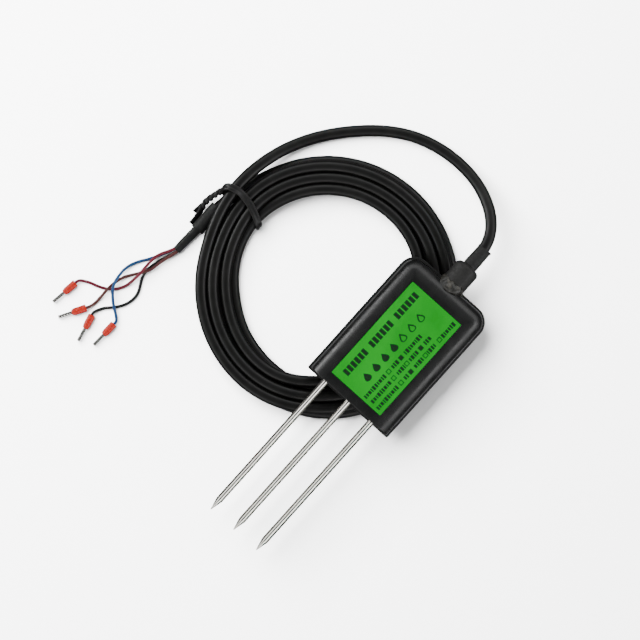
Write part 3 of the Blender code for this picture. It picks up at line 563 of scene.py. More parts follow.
# From under the loop at the tie, straight out just over the ground to the end of the jacket
TAIL_ROUTE = [
    (-95.3 * MM, TIE_Y, BUNDLE_LOW),
    (-95.3 * MM, 24.5 * MM, LYING + 0.6 * MM),
    (-95.3 * MM, 21.5 * MM, LYING + 0.5 * MM),
    (-95.3 * MM, 16.5 * MM, LYING + 0.5 * MM),
    (-95.3 * MM, 12.0 * MM, LYING + 0.5 * MM),
]
COIL_CENTRE = np.array((-38.5 * MM, 27.65 * MM))
COIL_TURNS = 6
OUTERMOST = 53.3 * MM  # radius of the outermost turn's middle
LAYER = 4.4 * MM  # height of the upper turns over the lower ones
# Each turn's radius after the tie, its radius after the stretch where the turns cross, and its layer. The
# upper turns are wound inwards, then the lower ones outwards
WINDING = [
    (53.0 * MM, 50.6 * MM, 1),
    (47.8 * MM, 45.8 * MM, 1),
    (42.6 * MM, 41.0 * MM, 1),
    (40.3 * MM, 43.4 * MM, 0),
    (45.4 * MM, 48.3 * MM, 0),
    (50.4 * MM, 53.2 * MM, 0),
]
# Shares of a turn at which it has reached its first radius, leaves it, has crossed and leaves again
WOUND, CROSSES, CROSSED, LEAVES = 0.06, 0.20, 0.42, 0.90
MEAN_RADIUS = 48 * MM
TIE_RADIUS = 56.8 * MM  # of the first and last turn at the tie
# How wide the bundle spreads, as a share, at angles in degrees from +X
SPREAD_AT = [0, 30, 70, 110, 160, 180, 200, 230, 260, 290, 310, 340, 360]
SPREAD = [1.0, 1.0, 0.84, 0.82, 0.8, 0.78, 0.85, 0.97, 0.9, 0.84, 0.94, 1.0, 1.0]
NODE_SPACING = 3.0 * MM
TOUCHING = 4.9 * MM  # distance between the middles of two turns that touch
NEARBY = TOUCHING + 2.5 * MM  # pairs of points closer than this are followed
OWN_NEIGHBOURS = 6  # points this near along the line never push each other
RELAXING_STEPS = 300
LOOK_AGAIN = 8  # steps between two searches for the pairs
PUSH = 0.9  # share of an overlap that a step takes away
SINKING = 0.03 * MM  # in each step
BUNDLE_WIDTH = 14.6 * MM
TIE_ANGLES = (172, 200)  # degrees from +X between which the tie's turns may stand out
TIE_ROOM = 4.2 * MM
EASING_STEPS = 8  # smoothings of the settled line, which take the kinks out where it is held


def spread(angle):
    """The share of the bundle's full width at that angle."""
    return np.interp(np.degrees(angle) % 360, SPREAD_AT, SPREAD)


def first_winding():
    """The coil's turns as wound, before they settle on each other."""
    stations = [(0.0, TIE_RADIUS, 1.0)]
    for turn, (near, far, layer) in enumerate(WINDING):
        stations += [(turn + WOUND, near, layer), (turn + CROSSES, near, layer)]
        stations += [(turn + CROSSED, far, layer), (turn + LEAVES, far, layer)]
    stations = np.array(stations + [(float(COIL_TURNS), TIE_RADIUS, 0.0)])
    at = np.linspace(0.0, COIL_TURNS, int(math.tau * MEAN_RADIUS * COIL_TURNS / NODE_SPACING))
    i = np.clip(np.searchsorted(stations[:, 0], at, side="right") - 1, 0, len(stations) - 2)
    share = smoothstep((at - stations[i, 0]) / (stations[i + 1, 0] - stations[i, 0]))[:, None]
    radius, layer = (stations[i, 1:] + (stations[i + 1, 1:] - stations[i, 1:]) * share).T
    angle = math.pi + math.tau * at
    radius = OUTERMOST - (OUTERMOST - radius) * spread(angle)
    x = COIL_CENTRE[0] + radius * np.cos(angle)
    y = COIL_CENTRE[1] + radius * np.sin(angle)
    return np.column_stack((x, y, LYING + LAYER * layer))


def settled(line, free):
    """Let the free points push each other apart, sink and settle, keeping the line smooth."""
    start = line.copy()
    order = np.arange(len(line))
    for step in range(RELAXING_STEPS):
        if step % LOOK_AGAIN == 0:
            apart = ((line[:, None] - line[None]) ** 2).sum(2)
            near = (apart < NEARBY**2) & (np.abs(order[:, None] - order) > OWN_NEIGHBOURS)
            one, other = np.where(near)
        along = np.gradient(line, axis=0)
        along /= np.linalg.norm(along, axis=1)[:, None]
        between = line[one] - line[other]
        offset = (between * along[other]).sum(1)
        side = between - offset[:, None] * along[other]
        distance = np.linalg.norm(side, axis=1)
        hit = (np.abs(offset) < 1.7 * MM) & (distance < TOUCHING)
        push = side[hit] * ((TOUCHING - distance[hit]) / distance[hit] / 2)[:, None]
        total = np.zeros_like(line)
        count = np.zeros(len(line))
        np.add.at(total, one[hit], push)
        np.add.at(count, one[hit], 1.0)
        np.add.at(total, other[hit], -push / 2)
        np.add.at(count, other[hit], 0.5)
        line[free] += PUSH * (total / np.maximum(count, 1.0)[:, None])[free]
        line[free, 2] -= SINKING
        keep_in_bounds(line, free)
        moved = line - start
        for _ in range(2):
            smooth = moved.copy()
            smooth[1:-1] = (moved[:-2] + 2 * moved[1:-1] + moved[2:]) / 4
            moved[free] = smooth[free]
        line = start + moved
    return line


def keep_in_bounds(line, free):
    """Hold the free points over the ground, under the case and inside the bundle's width."""
    line[free, 2] = np.maximum(line[free, 2], LYING)
    x, y = line[:, 0], line[:, 1]
    under = free & (x > -HALF_WIDTH - 1.2 * MM) & (y > SOIL_Y - 1.5 * MM) & (y < CABLE_Y + 1.5 * MM)
    line[under, 2] = np.minimum(line[under, 2], BACK_Z - CABLE_RADIUS - 0.1 * MM)
    out = line[:, :2] - COIL_CENTRE
    radius = np.linalg.norm(out, axis=1)
    angle = np.arctan2(out[:, 1], out[:, 0])
    degrees = np.degrees(angle) % 360
    by_tie = (degrees > TIE_ANGLES[0]) & (degrees < TIE_ANGLES[1])
    high = np.where(by_tie, OUTERMOST + TIE_ROOM, OUTERMOST)
    low = OUTERMOST - BUNDLE_WIDTH * spread(angle)
    kept = np.where(free, np.clip(radius, low, high) / radius, 1.0)
    line[:, :2] = COIL_CENTRE + out * kept[:, None]


def lead_line():
    """The middle of the whole lead: the loop and the tail are held, and the turns between them settle."""
    loop = spline(LOOP_ROUTE, NODE_SPACING)
    tail = spline(TAIL_ROUTE, NODE_SPACING)
    line = np.concatenate((loop[:-1], first_winding(), tail[1:]))
    free = np.ones(len(line), dtype=bool)
    free[: len(loop) - 3] = False
    free[len(line) - len(tail) + 2 :] = False
    line = settled(line, free)
    for _ in range(EASING_STEPS):
        line[1:-1] = (line[:-2] + 2 * line[1:-1] + line[2:]) / 4
    return spline(line, 1.5 * MM)


# ---- The free cores ----

CORE_RADIUS = 0.65 * MM
LOW = GROUND_Z + CORE_RADIUS + 0.05 * MM  # a core on the ground
CROSSING = 1.6 * MM
OVER = LOW + CROSSING
ABOVE = OVER + CROSSING
COLLAR_RADIUS = 1.55 * MM
PIN_RADIUS = 0.75 * MM
CORE_ENTRY = 1.0 * MM
# Each ferrule as (its mouth, a point ahead on its axis), in millimetres
FERRULES = {
    "red": ((-118.4, -41.5), (-119.9, -52.0)),
    "brown": ((-108.1, -46.3), (-114.2, -57.0)),
    "black": ((-104.2, -46.9), (-101.2, -59.2)),
    "blue": ((-94.9, -43.5), (-95.3, -55.9)),
}
# Each core from the boot to its ferrule
CORE_ROUTES = {
    "red": [
        (-96.8 * MM, -2.5 * MM, OVER),
        (-98.6 * MM, -6.2 * MM, OVER),
        (-100.1 * MM, -9.0 * MM, OVER),
        (-100.8 * MM, -12.3 * MM, OVER + 0.3 * MM),
        (-100.9 * MM, -16.0 * MM, ABOVE - 0.3 * MM),
        (-100.8 * MM, -19.8 * MM, ABOVE),
        (-101.1 * MM, -24.0 * MM, OVER + 0.2 * MM),
        (-101.9 * MM, -28.1 * MM, LOW + 0.3 * MM),
        (-103.3 * MM, -31.0 * MM, LOW),
        (-105.1 * MM, -33.1 * MM, LOW),
        (-107.6 * MM, -34.9 * MM, LOW),
        (-110.6 * MM, -36.3 * MM, LOW),
        (-113.9 * MM, -37.4 * MM, LOW),
        (-116.4 * MM, -38.6 * MM, LOW + 0.3 * MM),
    ],
    "brown": [
        (-95.2 * MM, -2.5 * MM, OVER),
        (-96.4 * MM, -7.0 * MM, OVER),
        (-97.6 * MM, -11.2 * MM, OVER),
        (-98.3 * MM, -15.0 * MM, OVER),
        (-99.6 * MM, -18.0 * MM, OVER),
        (-101.4 * MM, -20.8 * MM, OVER),
        (-103.3 * MM, -23.6 * MM, OVER - 0.8 * MM),
        (-105.0 * MM, -26.4 * MM, LOW + 0.5 * MM),
        (-105.9 * MM, -29.4 * MM, OVER - 0.4 * MM),
        (-106.5 * MM, -32.3 * MM, OVER),
        (-106.6 * MM, -35.6 * MM, OVER),
        (-106.6 * MM, -39.0 * MM, LOW + 0.6 * MM),
        (-106.8 * MM, -42.8 * MM, LOW + 0.2 * MM),
    ],
    "black": [
        (-95.2 * MM, -2.5 * MM, LOW + 0.2 * MM),
        (-96.7 * MM, -6.4 * MM, LOW),
        (-98.1 * MM, -10.0 * MM, LOW),
        (-99.2 * MM, -13.9 * MM, LOW),
        (-99.7 * MM, -17.5 * MM, LOW),
        (-99.2 * MM, -20.7 * MM, LOW),
        (-97.8 * MM, -23.7 * MM, LOW),
        (-96.4 * MM, -26.4 * MM, LOW),
        (-95.8 * MM, -29.7 * MM, LOW),
        (-96.4 * MM, -33.0 * MM, LOW),
        (-97.9 * MM, -36.2 * MM, LOW),
        (-100.0 * MM, -38.8 * MM, LOW),
        (-102.4 * MM, -41.4 * MM, LOW),
        (-103.9 * MM, -44.0 * MM, LOW + 0.3 * MM),
    ],
    "blue": [
        (-96.8 * MM, -2.5 * MM, LOW + 0.2 * MM),
        (-98.3 * MM, -5.9 * MM, LOW),
        (-99.6 * MM, -8.5 * MM, LOW),
        (-101.7 * MM, -12.6 * MM, LOW),
        (-104.0 * MM, -16.1 * MM, LOW),
        (-105.8 * MM, -19.4 * MM, LOW + 0.2 * MM),
        (-106.8 * MM, -22.8 * MM, LOW + 0.9 * MM),
        (-106.8 * MM, -26.6 * MM, OVER + 0.6 * MM),
        (-106.3 * MM, -29.8 * MM, ABOVE),
        (-105.3 * MM, -32.4 * MM, ABOVE),
        (-103.7 * MM, -34.5 * MM, ABOVE - 0.5 * MM),
        (-101.7 * MM, -36.6 * MM, OVER + 0.3 * MM),
        (-99.7 * MM, -38.2 * MM, OVER),
        (-97.5 * MM, -39.7 * MM, OVER - 0.5 * MM),
        (-95.8 * MM, -41.1 * MM, LOW + 0.8 * MM),
    ],
}


def ferrule_frame(name):
    """A ferrule's mouth and the direction of its axis, with the collar lying on the ground."""
    height = GROUND_Z + COLLAR_RADIUS + 0.05 * MM
    start, end = [Vector((x * MM, y * MM, height)) for x, y in FERRULES[name]]
    return start, (end - start).normalized()


def lead():
    """The whole lead from inside the case to the end of its jacket."""
    line = lead_line()
    piece = tube("lead", line, CABLE_RADIUS, PVC, 8)
    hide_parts("cable_entry", "cable_loop", "cable_coil", "cable_tail")


def free_cores():
    """The four insulated cores, each from the boot into its collar."""
    for name, route in CORE_ROUTES.items():
        mouth, along = ferrule_frame(name)
        ending = [tuple(mouth - along * 1.2 * MM), tuple(mouth + along * CORE_ENTRY)]
        points = spline(route + ending, 0.7 * MM)
        wire = tube("core_" + name, points, CORE_RADIUS, CORES[name])
        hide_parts("wire_" + name)
        tuple(points[0])


def ferrules():
    """Crimped wire ends: a flared plastic collar over a tinned tube pressed into ribs."""
    collar = [
        (2.0 * MM, 0.3 * MM),
        (2.0 * MM, 1.05 * MM),
        (0.25 * MM, 1.1 * MM),
        (0.0, 1.35 * MM),
        (0.12 * MM, COLLAR_RADIUS),
        (4.9 * MM, COLLAR_RADIUS - 0.03 * MM),
        (5.3 * MM, COLLAR_RADIUS - 0.12 * MM),
        (6.2 * MM, 1.2 * MM),
        (6.4 * MM, 1.0 * MM),
        (6.4 * MM, 0.3 * MM),
    ]
    ribs = 5
    pins = []
    for name in CORES:
        mouth, along = ferrule_frame(name)
        mesh = aimed(turned("collar_" + name, filleted(collar, 0.14 * MM), 40), mouth, mouth + along)
        piece = add("collar_" + name, mesh, COLLAR)
        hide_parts("ferrule_collar_" + name)
        rings = []
        for i in range(ribs * 4 + 1):
            pressed = 0.5 - 0.5 * math.cos(math.tau * i / 4)
            y = 6.0 * MM * i / (ribs * 4)
            rings.append([(x * PIN_RADIUS, y, z * PIN_RADIUS) for x, z in pin_section(pressed)])
        mesh = loft("pin_" + name, rings)
        mesh.transform(Matrix.Translation((0.0, 6.3 * MM, 0.0)))
        piece = add("pin_" + name, aimed(mesh, mouth, mouth + along), TIN)
        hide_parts("ferrule_pin_" + name)
        pins.append(piece)
    return pins


def pin_section(pressed):
    """A crimped tube's outline: square with soft corners, its top and bottom pressed in by the tool."""
    outline = []
    for i in range(24):
        angle = math.tau * i / 24
        c, s = math.cos(angle), math.sin(angle)
        size = (abs(c) ** 3 + abs(s) ** 3) ** (-1 / 3)
        outline.append(((0.95 - 0.12 * pressed) * size * c, (0.92 - 0.4 * pressed) * size * s))
    return outline


# ---- Tie ----

TIE_WIDTH = 3.2 * MM
TIE_THICKNESS = 1.0 * MM
# The tie's paths in millimetres, as X, Y and height above the ground. The band goes over the bundle and back
# under it
BAND_ROUTE = [
    (-98.6, 28.6, 7.6),
    (-98.4, 30.2, 10.6),
    (-97.0, 31.6, 12.4),
    (-94.4, 32.6, 12.7),
    (-91.2, 32.9, 11.4),
    (-87.6, 32.4, 10.4),
    (-83.8, 31.3, 10.0),
    (-80.4, 29.8, 9.6),
    (-77.6, 28.3, 8.4),
    (-76.5, 27.6, 5.6),
    (-77.0, 27.6, 2.4),
    (-79.2, 28.0, 0.5),
    (-84.0, 28.8, 0.4),
    (-90.0, 29.4, 0.4),
    (-95.6, 29.2, 0.5),
    (-98.3, 28.6, 1.8),
    (-99.0, 28.2, 4.6),
    (-98.8, 28.0, 6.6),
]
TWIST_ROUTE = [
    (-98.4, 28.6, 7.2),
    (-98.9, 26.4, 6.6),
    (-99.7, 23.7, 5.0),
    (-100.3, 20.6, 3.4),
    (-100.2, 17.4, 2.4),
]
# The two free ends lie flat beside the sleeve
END_ROUTES = [
    [(-99.9, 15.4, 2.0), (-99.5, 12.6, 1.9), (-99.4, 9.4, 1.9)],
    [(-100.4, 15.8, 1.6), (-100.5, 14.0, 1.3)],
]
TWIST_TURNS = 2.4


def ribbon(name, points, outwards, closed=False):
    """The tie's strip along the points: two round lobes side by side, with a groove between them."""
    middle, radius = TIE_WIDTH / 4, TIE_THICKNESS / 2
    section = []
    for side in (1, -1):
        for i in range(11):
            angle = math.radians(-140 + 28 * i)
            x, z = side * (middle + middle * math.cos(angle)), side * radius * math.sin(angle)
            section.append((x, z))
    points = [Vector(point) for point in points]
    rings = []
    for i, point in enumerate(points):
        ahead = points[min(i + 1, len(points) - 1)]
        behind = points[max(i - 1, 0)]
        along = (ahead - behind).normalized()
        out = outwards[i] - outwards[i].dot(along) * along
        out.normalize()
        across = along.cross(out)
        rings.append([point + across * x + out * z for x, z in section])
    return loft(name, rings, closed, 50)


def lifted(route):
    """One of the tie's paths in metres."""
    return [(x * MM, y * MM, GROUND_Z + height * MM) for x, y, height in route]


def tie():
    """A flat twist tie: a band round the bundle and its two ends twisted together."""
    band = spline(lifted(BAND_ROUTE), 0.5 * MM)
    middle = Vector((-87.5 * MM, 30.0 * MM, GROUND_Z + 5.6 * MM))
    out = []
    for point in band:
        away = Vector(point) - middle
        out.append(Vector((away.x * 0.45, 0.0, away.z)))
    pieces = [add("tie_band", ribbon("tie_band", band, out), TIE)]
    for name, phase, end in (("tie_twist_a", 0.0, END_ROUTES[0]), ("tie_twist_b", math.pi, END_ROUTES[1])):
        rope = spline(lifted(TWIST_ROUTE + end), 0.35 * MM)
        twisted = length_of(spline(lifted(TWIST_ROUTE), 0.35 * MM))
        points, facing = [], []
        travelled = 0.0
        for i, centre in enumerate(rope):
            travelled += float(np.linalg.norm(centre - rope[max(i - 1, 0)]))
            share = min(travelled / twisted, 1.0)
            along = Vector(rope[min(i + 1, len(rope) - 1)] - rope[max(i - 1, 0)]).normalized()
            side = along.cross(Vector((0.0, 0.0, 1.0))).normalized()
            up = side.cross(along)
            angle = phase + math.tau * TWIST_TURNS * share
            out_now = math.cos(angle) * side + math.sin(angle) * up
            points.append(Vector(centre) + out_now * TIE_THICKNESS * 0.62)
            facing.append(out_now)
        pieces.append(add(name, ribbon(name, points, facing), TIE))
    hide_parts("twist_tie")


# ---- Cable outlet and tail ----


def boss():
    """The moulded rubber boss, with a soft shoulder towards the lead."""
    start = CABLE_Y + GAP
    inner = CABLE_RADIUS + 0.1 * MM
    neck = 4.0 * MM
    profile = [
        (CABLE_Y - 5.6 * MM, inner),
        (CABLE_Y - 5.6 * MM, neck),
        (start, neck),
        (start, BOSS_RADIUS - 0.5 * MM),
        (start + 0.5 * MM, BOSS_RADIUS),
        (BOSS_Y - 1.5 * MM, BOSS_RADIUS),
        (BOSS_Y - 0.35 * MM, BOSS_RADIUS - 0.75 * MM),
        (BOSS_Y, BOSS_RADIUS - 1.8 * MM),
        (BOSS_Y, inner),
    ]
    mesh = turned("outlet_boss", filleted(profile, 0.5 * MM), 72, closed=True)
    piece = add("outlet_boss", roughened(mesh, 3.0 * MM, 0.12 * MM, 4.0), BOSS)
    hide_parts("cable_grommet")


def sealant():
    """Lumps of glue squeezed out round the boss's root."""
    profile = [(CABLE_Y - 4.6 * MM, 4.6 * MM)]
    for i in range(13):
        share = i / 12
        bulge = math.sin(math.pi * share) ** 0.7
        profile.append((CABLE_Y + (-4.2 + 6.6 * share) * MM, (5.1 + 1.0 * bulge) * MM))
    profile.append((CABLE_Y + 2.6 * MM, 4.6 * MM))
    mesh = turned("glue_lumps", profile, 96, closed=True)
    roughened(mesh, 4.2 * MM, 1.3 * MM, 7.0)
    mesh.update()
    roughened(mesh, 1.7 * MM, 0.35 * MM, 1.0)
    piece = add("glue_lumps", mesh, GLUE)
    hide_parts("sealant_bead")


def shrink_sleeve(name, start, end, radii, inner, flare, seed, sides=64):
    """A thin tube of shrink with a slightly torn, flared far end and faint wrinkles."""
    start, end = Vector(start), Vector(end)
    length = (end - start).length
    rings = []
    stations = [i / 24 for i in range(25)]
    for outside in (True, False):
        ring_stations = stations if outside else stations[::-1]
        for share in ring_stations:
            ring = []
            for i in range(sides):
                angle = math.tau * i / sides
                c, s = math.cos(angle), math.sin(angle)
                torn = noise.noise(Vector((1.6 * c, 1.6 * s, seed))) * 0.55 * MM * share**6
                uneven = 0.6 + noise.noise(Vector((2 * c, 2 * s, seed + 5)))
                opened = flare * smoothstep((share - 0.86) / 0.14) * uneven
                wrinkle = 0.09 * MM * noise.noise(Vector((2.2 * c, 2.2 * s, seed + 9 * share)))
                radius = radii[0] + (radii[1] - radii[0]) * share + opened + wrinkle
                if not outside:
                    radius = max(inner, radius - 0.45 * MM)
                ring.append((radius * c, share * length + torn, radius * s))
            rings.append(ring)
    return add(name, aimed(loft(name, rings, closed=True), start, end), SHRINK)


def sleeves():
    """The sleeves over the start of the lead and over the end of its jacket."""
    start, end = (0.0, BOSS_Y + 0.1 * MM, 0.0), (0.0, SLEEVE_END + 0.1 * MM, 0.0)
    radii = (SLEEVE_RADIUS + 0.1 * MM, SLEEVE_RADIUS - 0.15 * MM)
    inner = CABLE_RADIUS + 0.05 * MM
    piece = shrink_sleeve("outlet_sleeve", start, end, radii, inner, 0.4 * MM, 3.0)
    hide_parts("strain_relief_sleeve")
    start, end = (-95.3 * MM, 22.2 * MM, LYING + 0.5 * MM), (-95.3 * MM, 9.3 * MM, LYING + 0.35 * MM)
    piece = shrink_sleeve("tail_sleeve_tube", start, end, (2.95 * MM, 2.85 * MM), inner, 0.1 * MM, 11.0)
    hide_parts("tail_sleeve")


def tail_boot():
    """The narrower shrink over the four cores, which show through it as soft lobes."""
    start = Vector((-95.3 * MM, 12.4 * MM, LYING + 0.1 * MM))
    end = Vector((-96.0 * MM, -2.9 * MM, GROUND_Z + 1.95 * MM))
    length = (end - start).length
    rings = []
    sides = 56
    mouth = 0.9 * MM
    for step in range(41):
        share = step / 40
        radius = (2.0 - 0.25 * share) * MM
        ring = []
        for i in range(sides):
            angle = math.tau * i / sides
            c, s = math.cos(angle), math.sin(angle)
            lobes = 0.10 * MM * smoothstep(share * 1.6) * math.cos(4 * angle + 0.8 + 1.2 * share)
            wave = 0.10 * MM * noise.noise(Vector((1.5 * c, 1.5 * s, 6.0 * share)))
            torn = 0.5 * MM * share**8 * noise.noise(Vector((1.8 * c, 1.8 * s, 2.0)))
            r = radius + lobes + wave
            ring.append((r * c, share * length + torn, r * s))
        rings.append(ring)
    last = rings[-1]
    for inward, back in ((0.8, 0.0), (0.76, mouth)):
        rings.append([(x * inward, y - back, z * inward) for x, y, z in last])
    piece = add("tail_boot_tube", aimed(loft("tail_boot_tube", rings), start, end), SHRINK)
    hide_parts("tail_boot")


# ---- Case ----

CORNER_RADIUS = 7.3 * MM
SOIL_CORNER = 0.7 * MM
# The shell's outside as height above its foot and distance in from the cover's outline
CASE_SECTION = [
    (0.0 * MM, 0.8 * MM),
    (3.8 * MM, 1.1 * MM),
    (7.6 * MM, 1.4 * MM),
    (9.3 * MM, 2.0 * MM),
    (10.5 * MM, 3.1 * MM),
    (11.65 * MM, 4.7 * MM),
    (12.4 * MM, 6.6 * MM),
    (12.75 * MM, 8.0 * MM),
    (TOP_Z - FOOT_Z, 8.3 * MM),
]
CAVITY_SECTION = [
    (0.0 * MM, 2.8 * MM),
    (6.6 * MM, 3.4 * MM),
    (8.6 * MM, 4.6 * MM),
    (9.9 * MM, 7.2 * MM),
    (10.7 * MM, 9.2 * MM),
]
SOIL_WALL = 3.0 * MM
RECESS_GAP = 0.3 * MM
RECESS_DEPTH = 0.6 * MM
PROBES = ("probe_left", "probe_centre", "probe_right")
PROBE_BORE = 1.8 * MM


def rounded_rectangle(x, low_y, high_y, low_radius, high_radius, height, steps=14):
    """A rectangle centred on X, with its own corner radius at each end."""
    corners = [
        (low_radius - x, low_y + low_radius, low_radius, 180.0),
        (x - low_radius, low_y + low_radius, low_radius, 270.0),
        (x - high_radius, high_y - high_radius, high_radius, 0.0),
        (high_radius - x, high_y - high_radius, high_radius, 90.0),
    ]
    points = []
    for centre_x, centre_y, radius, start in corners:
        for i in range(steps + 1):
            angle = math.radians(start + 90.0 * i / steps)
            points.append((centre_x + radius * math.cos(angle), centre_y + radius * math.sin(angle), height))
    return points


def plan(height, side, soil, low_radius=SOIL_CORNER):
    """The case's outline, side in from the cover's long sides and cable end, soil in from its probe end."""
    high_radius = max(CORNER_RADIUS - side, 1.0 * MM)
    x = HALF_WIDTH - side
    return rounded_rectangle(x, SOIL_Y + soil, CABLE_Y - side, low_radius, high_radius, height)


def shell():
    """The moulded shell, with rounded shoulders, a recess for the label and a bore for each probe."""
    top = TOP_Z - FOOT_Z
    edge = 0.5 * MM
    rings = [plan(FOOT_Z + up, side, LIP + SOIL_WALL) for up, side in CAVITY_SECTION][::-1]
    for up, side in spline(CASE_SECTION, 0.45 * MM):
        over = max(0.0, up - (top - edge))
        rounding = edge - math.sqrt(max(0.0, edge**2 - over**2))
        rings.append(plan(FOOT_Z + up, side, LIP + rounding))
    x = LABEL_HIGH[0] + RECESS_GAP
    low_y, high_y = LABEL_LOW[1] - RECESS_GAP, LABEL_HIGH[1] + RECESS_GAP
    rim = [(0.0, 0.0), (0.03 * MM, 0.06 * MM), (0.10 * MM, 0.12 * MM), (0.10 * MM, RECESS_DEPTH)]
    for inset, down in rim:
        x_now, low_now, high_now = x - inset, low_y + inset, high_y - inset
        rings.append(rounded_rectangle(x_now, low_now, high_now, 0.5 * MM, 0.5 * MM, TOP_Z - down))
    piece = add("shell", loft("shell", rings, smooth_angle=35), CASE)
    tools = []
    for name in PROBES:
        low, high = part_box(name)
        bore = turned("bore", [(SOIL_Y - 2 * MM, PROBE_BORE), (SOIL_Y + 6 * MM, PROBE_BORE)], 40)
        bore.transform(Matrix.Translation(((low[0] + high[0]) / 2, 0.0, 0.0)))
        tools.append(bore)
    tools.append(turned("bore", [(CABLE_Y - 8 * MM, 4.3 * MM), (CABLE_Y + 2 * MM, 4.3 * MM)]))
    carve(piece, tools)
    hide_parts("front_case")


def cover():
    """The flat rear cover, its edges rounded by the mould."""
    edge, fine = 0.5 * MM, 0.25 * MM
    rings = []
    for i in range(5):
        angle = math.radians(90.0 * i / 4)
        inset = edge * (1 - math.sin(angle))
        rings.append(plan(BACK_Z + edge * (1 - math.cos(angle)), inset, inset))
    for i in range(5):
        angle = math.radians(90.0 * i / 4)
        inset = fine * (1 - math.cos(angle))
        rings.append(plan(COVER_TOP - fine * (1 - math.sin(angle)), inset, inset))
    piece = add("cover_plate", loft("cover_plate", rings), COVER)
    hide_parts("rear_cover")


def probes():
    """Three ground needles, each with a conical point."""
    made = []
    for name in PROBES:
        low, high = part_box(name)
        radius = (high[0] - low[0]) / 2
        length = high[1] - low[1]
        profile = [
            (0.0, 0.02 * MM),
            (0.06 * MM, 0.13 * MM),
            (0.25 * MM, 0.22 * MM),
            (5.1 * MM, radius - 0.07 * MM),
            (5.7 * MM, radius),
            (length - 0.3 * MM, radius),
            (length, radius - 0.3 * MM),
        ]
        mesh = turned(name + "_needle", filleted(profile, 0.25 * MM), 48)
        mesh.transform(Matrix.Translation(((low[0] + high[0]) / 2, low[1], 0.0)))
        piece = add(name + "_needle", mesh, STEEL)
        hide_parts(name)
        made.append(piece)
    return made


# ---- Label ----

INK_HEIGHT = 0.03 * MM
BOX_SIZE = 1.9 * MM
# Rows of small print in millimetres, as (X of the middle, first Y, last Y, boxes as (Y, filled))
SMALL_ROWS = [
    (4.0, 4.0, 38.5, [(18.6, False), (26.3, True)]),
    (7.4, 4.4, 41.0, [(18.0, False), (26.1, False), (34.8, True)]),
    (10.9, 4.0, 50.8, [(18.6, False), (24.7, True), (33.8, False), (42.5, False)]),
]


def print_mark(bm, outline):
    """A flat mark standing just proud of the label."""
    base = LABEL_HIGH[2] - 0.01 * MM
    lower = [bm.verts.new((x, y, base)) for x, y in outline]
    upper = [bm.verts.new((x, y, LABEL_HIGH[2] + INK_HEIGHT)) for x, y in outline]
    bm.faces.new(upper)
    for i in range(len(outline)):
        j = (i + 1) % len(outline)
        bm.faces.new((lower[i], lower[j], upper[j], upper[i]))


def bar(bm, x, y, width, length):
    """A rectangle centred on a place."""
    a, b = width / 2, length / 2
    print_mark(bm, [(x - a, y - b), (x + a, y - b), (x + a, y + b), (x - a, y + b)])


def box_mark(bm, x, y, filled):
    """A tick box."""
    line = 0.28 * MM
    if filled:
        bar(bm, x, y, BOX_SIZE, BOX_SIZE)
        return
    offset = (BOX_SIZE - line) / 2
    for side in (-1, 1):
        bar(bm, x + side * offset, y, line, BOX_SIZE)
        bar(bm, x, y + side * offset, BOX_SIZE - 2 * line, line)


def droplet(bm, x, y, size, filled):
    """A water drop with its point towards -X, solid or as an outline."""
    shape = []
    for i in range(28):
        angle = math.tau * i / 28
        shape.append((-math.cos(angle), math.sin(angle) * math.sin(angle / 2) ** 1.5))
    outer = [(x + size * u, y + 1.15 * size * v) for u, v in shape]
    if filled:
        print_mark(bm, outer[1:])
        return
    inner = [(x + size * (0.16 + 0.68 * u), y + 0.78 * size * v) for u, v in shape]
    for i in range(28):
        j = (i + 1) % 28
        print_mark(bm, [outer[i], outer[j], inner[j], inner[i]])


def label_piece():
    """The film, with softly rounded edges and corners."""
    corner = 0.4 * MM
    rings = []
    for inset, down in ((0.10, 0.40), (0.0, 0.30), (0.0, 0.14), (0.04, 0.05), (0.14, 0.0)):
        x = LABEL_HIGH[0] - inset * MM
        low_y, high_y = LABEL_LOW[1] + inset * MM, LABEL_HIGH[1] - inset * MM
        rings.append(rounded_rectangle(x, low_y, high_y, corner, corner, LABEL_HIGH[2] - down * MM, 6))
    piece = add("label_film", loft("label_film", rings), FILM)
    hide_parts("label")


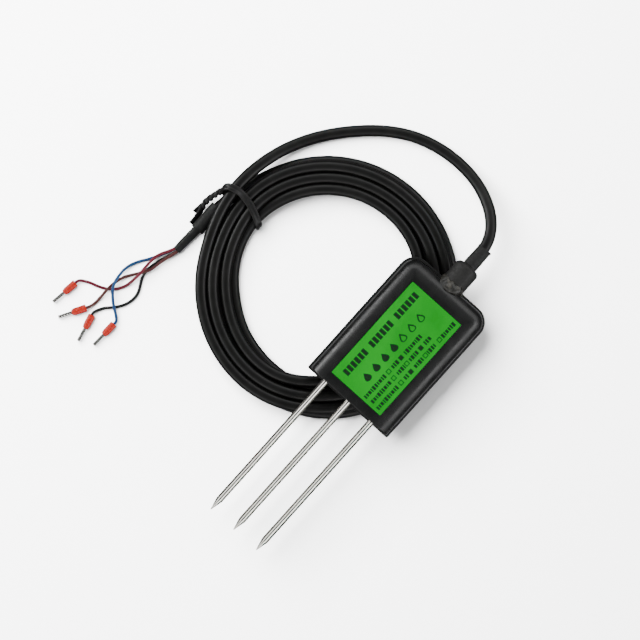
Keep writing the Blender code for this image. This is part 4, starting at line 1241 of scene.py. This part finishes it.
def label_marks():
    """Generic marks in place of the label's print: a segmented scale, drops, and rows with tick boxes."""
    bm = bmesh.new()
    title_x, title_start, title_end = -8.8 * MM, 5.6 * MM, 50.6 * MM
    zones, blocks = 3, 6
    pitch = (title_end - title_start) / (zones * (blocks + 1) - 1)
    for i in range(zones * (blocks + 1) - 1):
        if i % (blocks + 1) != blocks:
            bar(bm, title_x, title_start + (i + 0.5) * pitch, 3.1 * MM, 0.72 * pitch)
    for i in range(7):
        droplet(bm, -1.3 * MM, (11.0 + 5.5 * i) * MM, 2.0 * MM, i < 4)
    for row_x, start, end, boxes in SMALL_ROWS:
        x = row_x * MM
        for y, filled in boxes:
            box_mark(bm, x, y * MM, filled)
        at, i = start * MM, 0
        while at < end * MM:
            length = (0.85 + 0.35 * math.sin(2.4 * i + 900 * x)) * MM
            middle = at + length / 2
            if all(abs(middle - y * MM) > BOX_SIZE / 2 + length / 2 + 0.3 * MM for y, _ in boxes):
                bar(bm, x, middle, (1.7 + 0.25 * math.sin(5.1 * i)) * MM, length)
            at += length + 0.45 * MM
            i += 1
    mesh = finish_mesh("label_marks", bm)
    add("label_marks", mesh, INK)


# ---- Inside ----


def inner_looks():
    """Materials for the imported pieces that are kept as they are."""
    board = tinted("solder_mask", [(0.012, 0.12, 0.035), (0.02, 0.17, 0.05)], (0.3, 0.45), 3 * MM)
    chip = tinted("chip_epoxy", [(0.014, 0.014, 0.015), (0.024, 0.024, 0.026)], (0.45, 0.6), 0.8 * MM)
    can = tinted("can_metal", [(0.5, 0.5, 0.52), (0.65, 0.65, 0.67)], (0.25, 0.4), 1 * MM, metallic=1.0)
    greys = [(0.45, 0.45, 0.47), (0.6, 0.6, 0.62)]
    solder = tinted("solder_metal", greys, (0.25, 0.45), 0.8 * MM, metallic=1.0)
    resin = tinted("potting_resin", [(0.010, 0.010, 0.011), (0.016, 0.016, 0.017)], (0.15, 0.3), 8 * MM)
    kept = {"circuit_board": board, "potting_compound": resin, "inner_cable_tie": TIE}
    for name in ("microcontroller", "op_amp", "output_driver", "voltage_regulator", "protection_diode"):
        kept[name] = chip
    kept["temperature_sensor"] = chip
    for name in ("filter_capacitor_input", "filter_capacitor_output", "power_inductor", "crystal"):
        kept[name] = can
    for name in ("solder_left", "solder_centre", "solder_right"):
        kept[name] = solder
    for name, look in CORES.items():
        kept["inner_lead_" + name] = look
    for name, look in kept.items():
        frame["nodes"][name].material_slots[0].material = look


shell()
cover()
label_piece()
label_marks()
shiny = probes()
boss()
sealant()
sleeves()
tail_boot()
tie()
shiny += ferrules()
sort_lights(shiny, side_lights)
inner_looks()
lead()
free_cores()
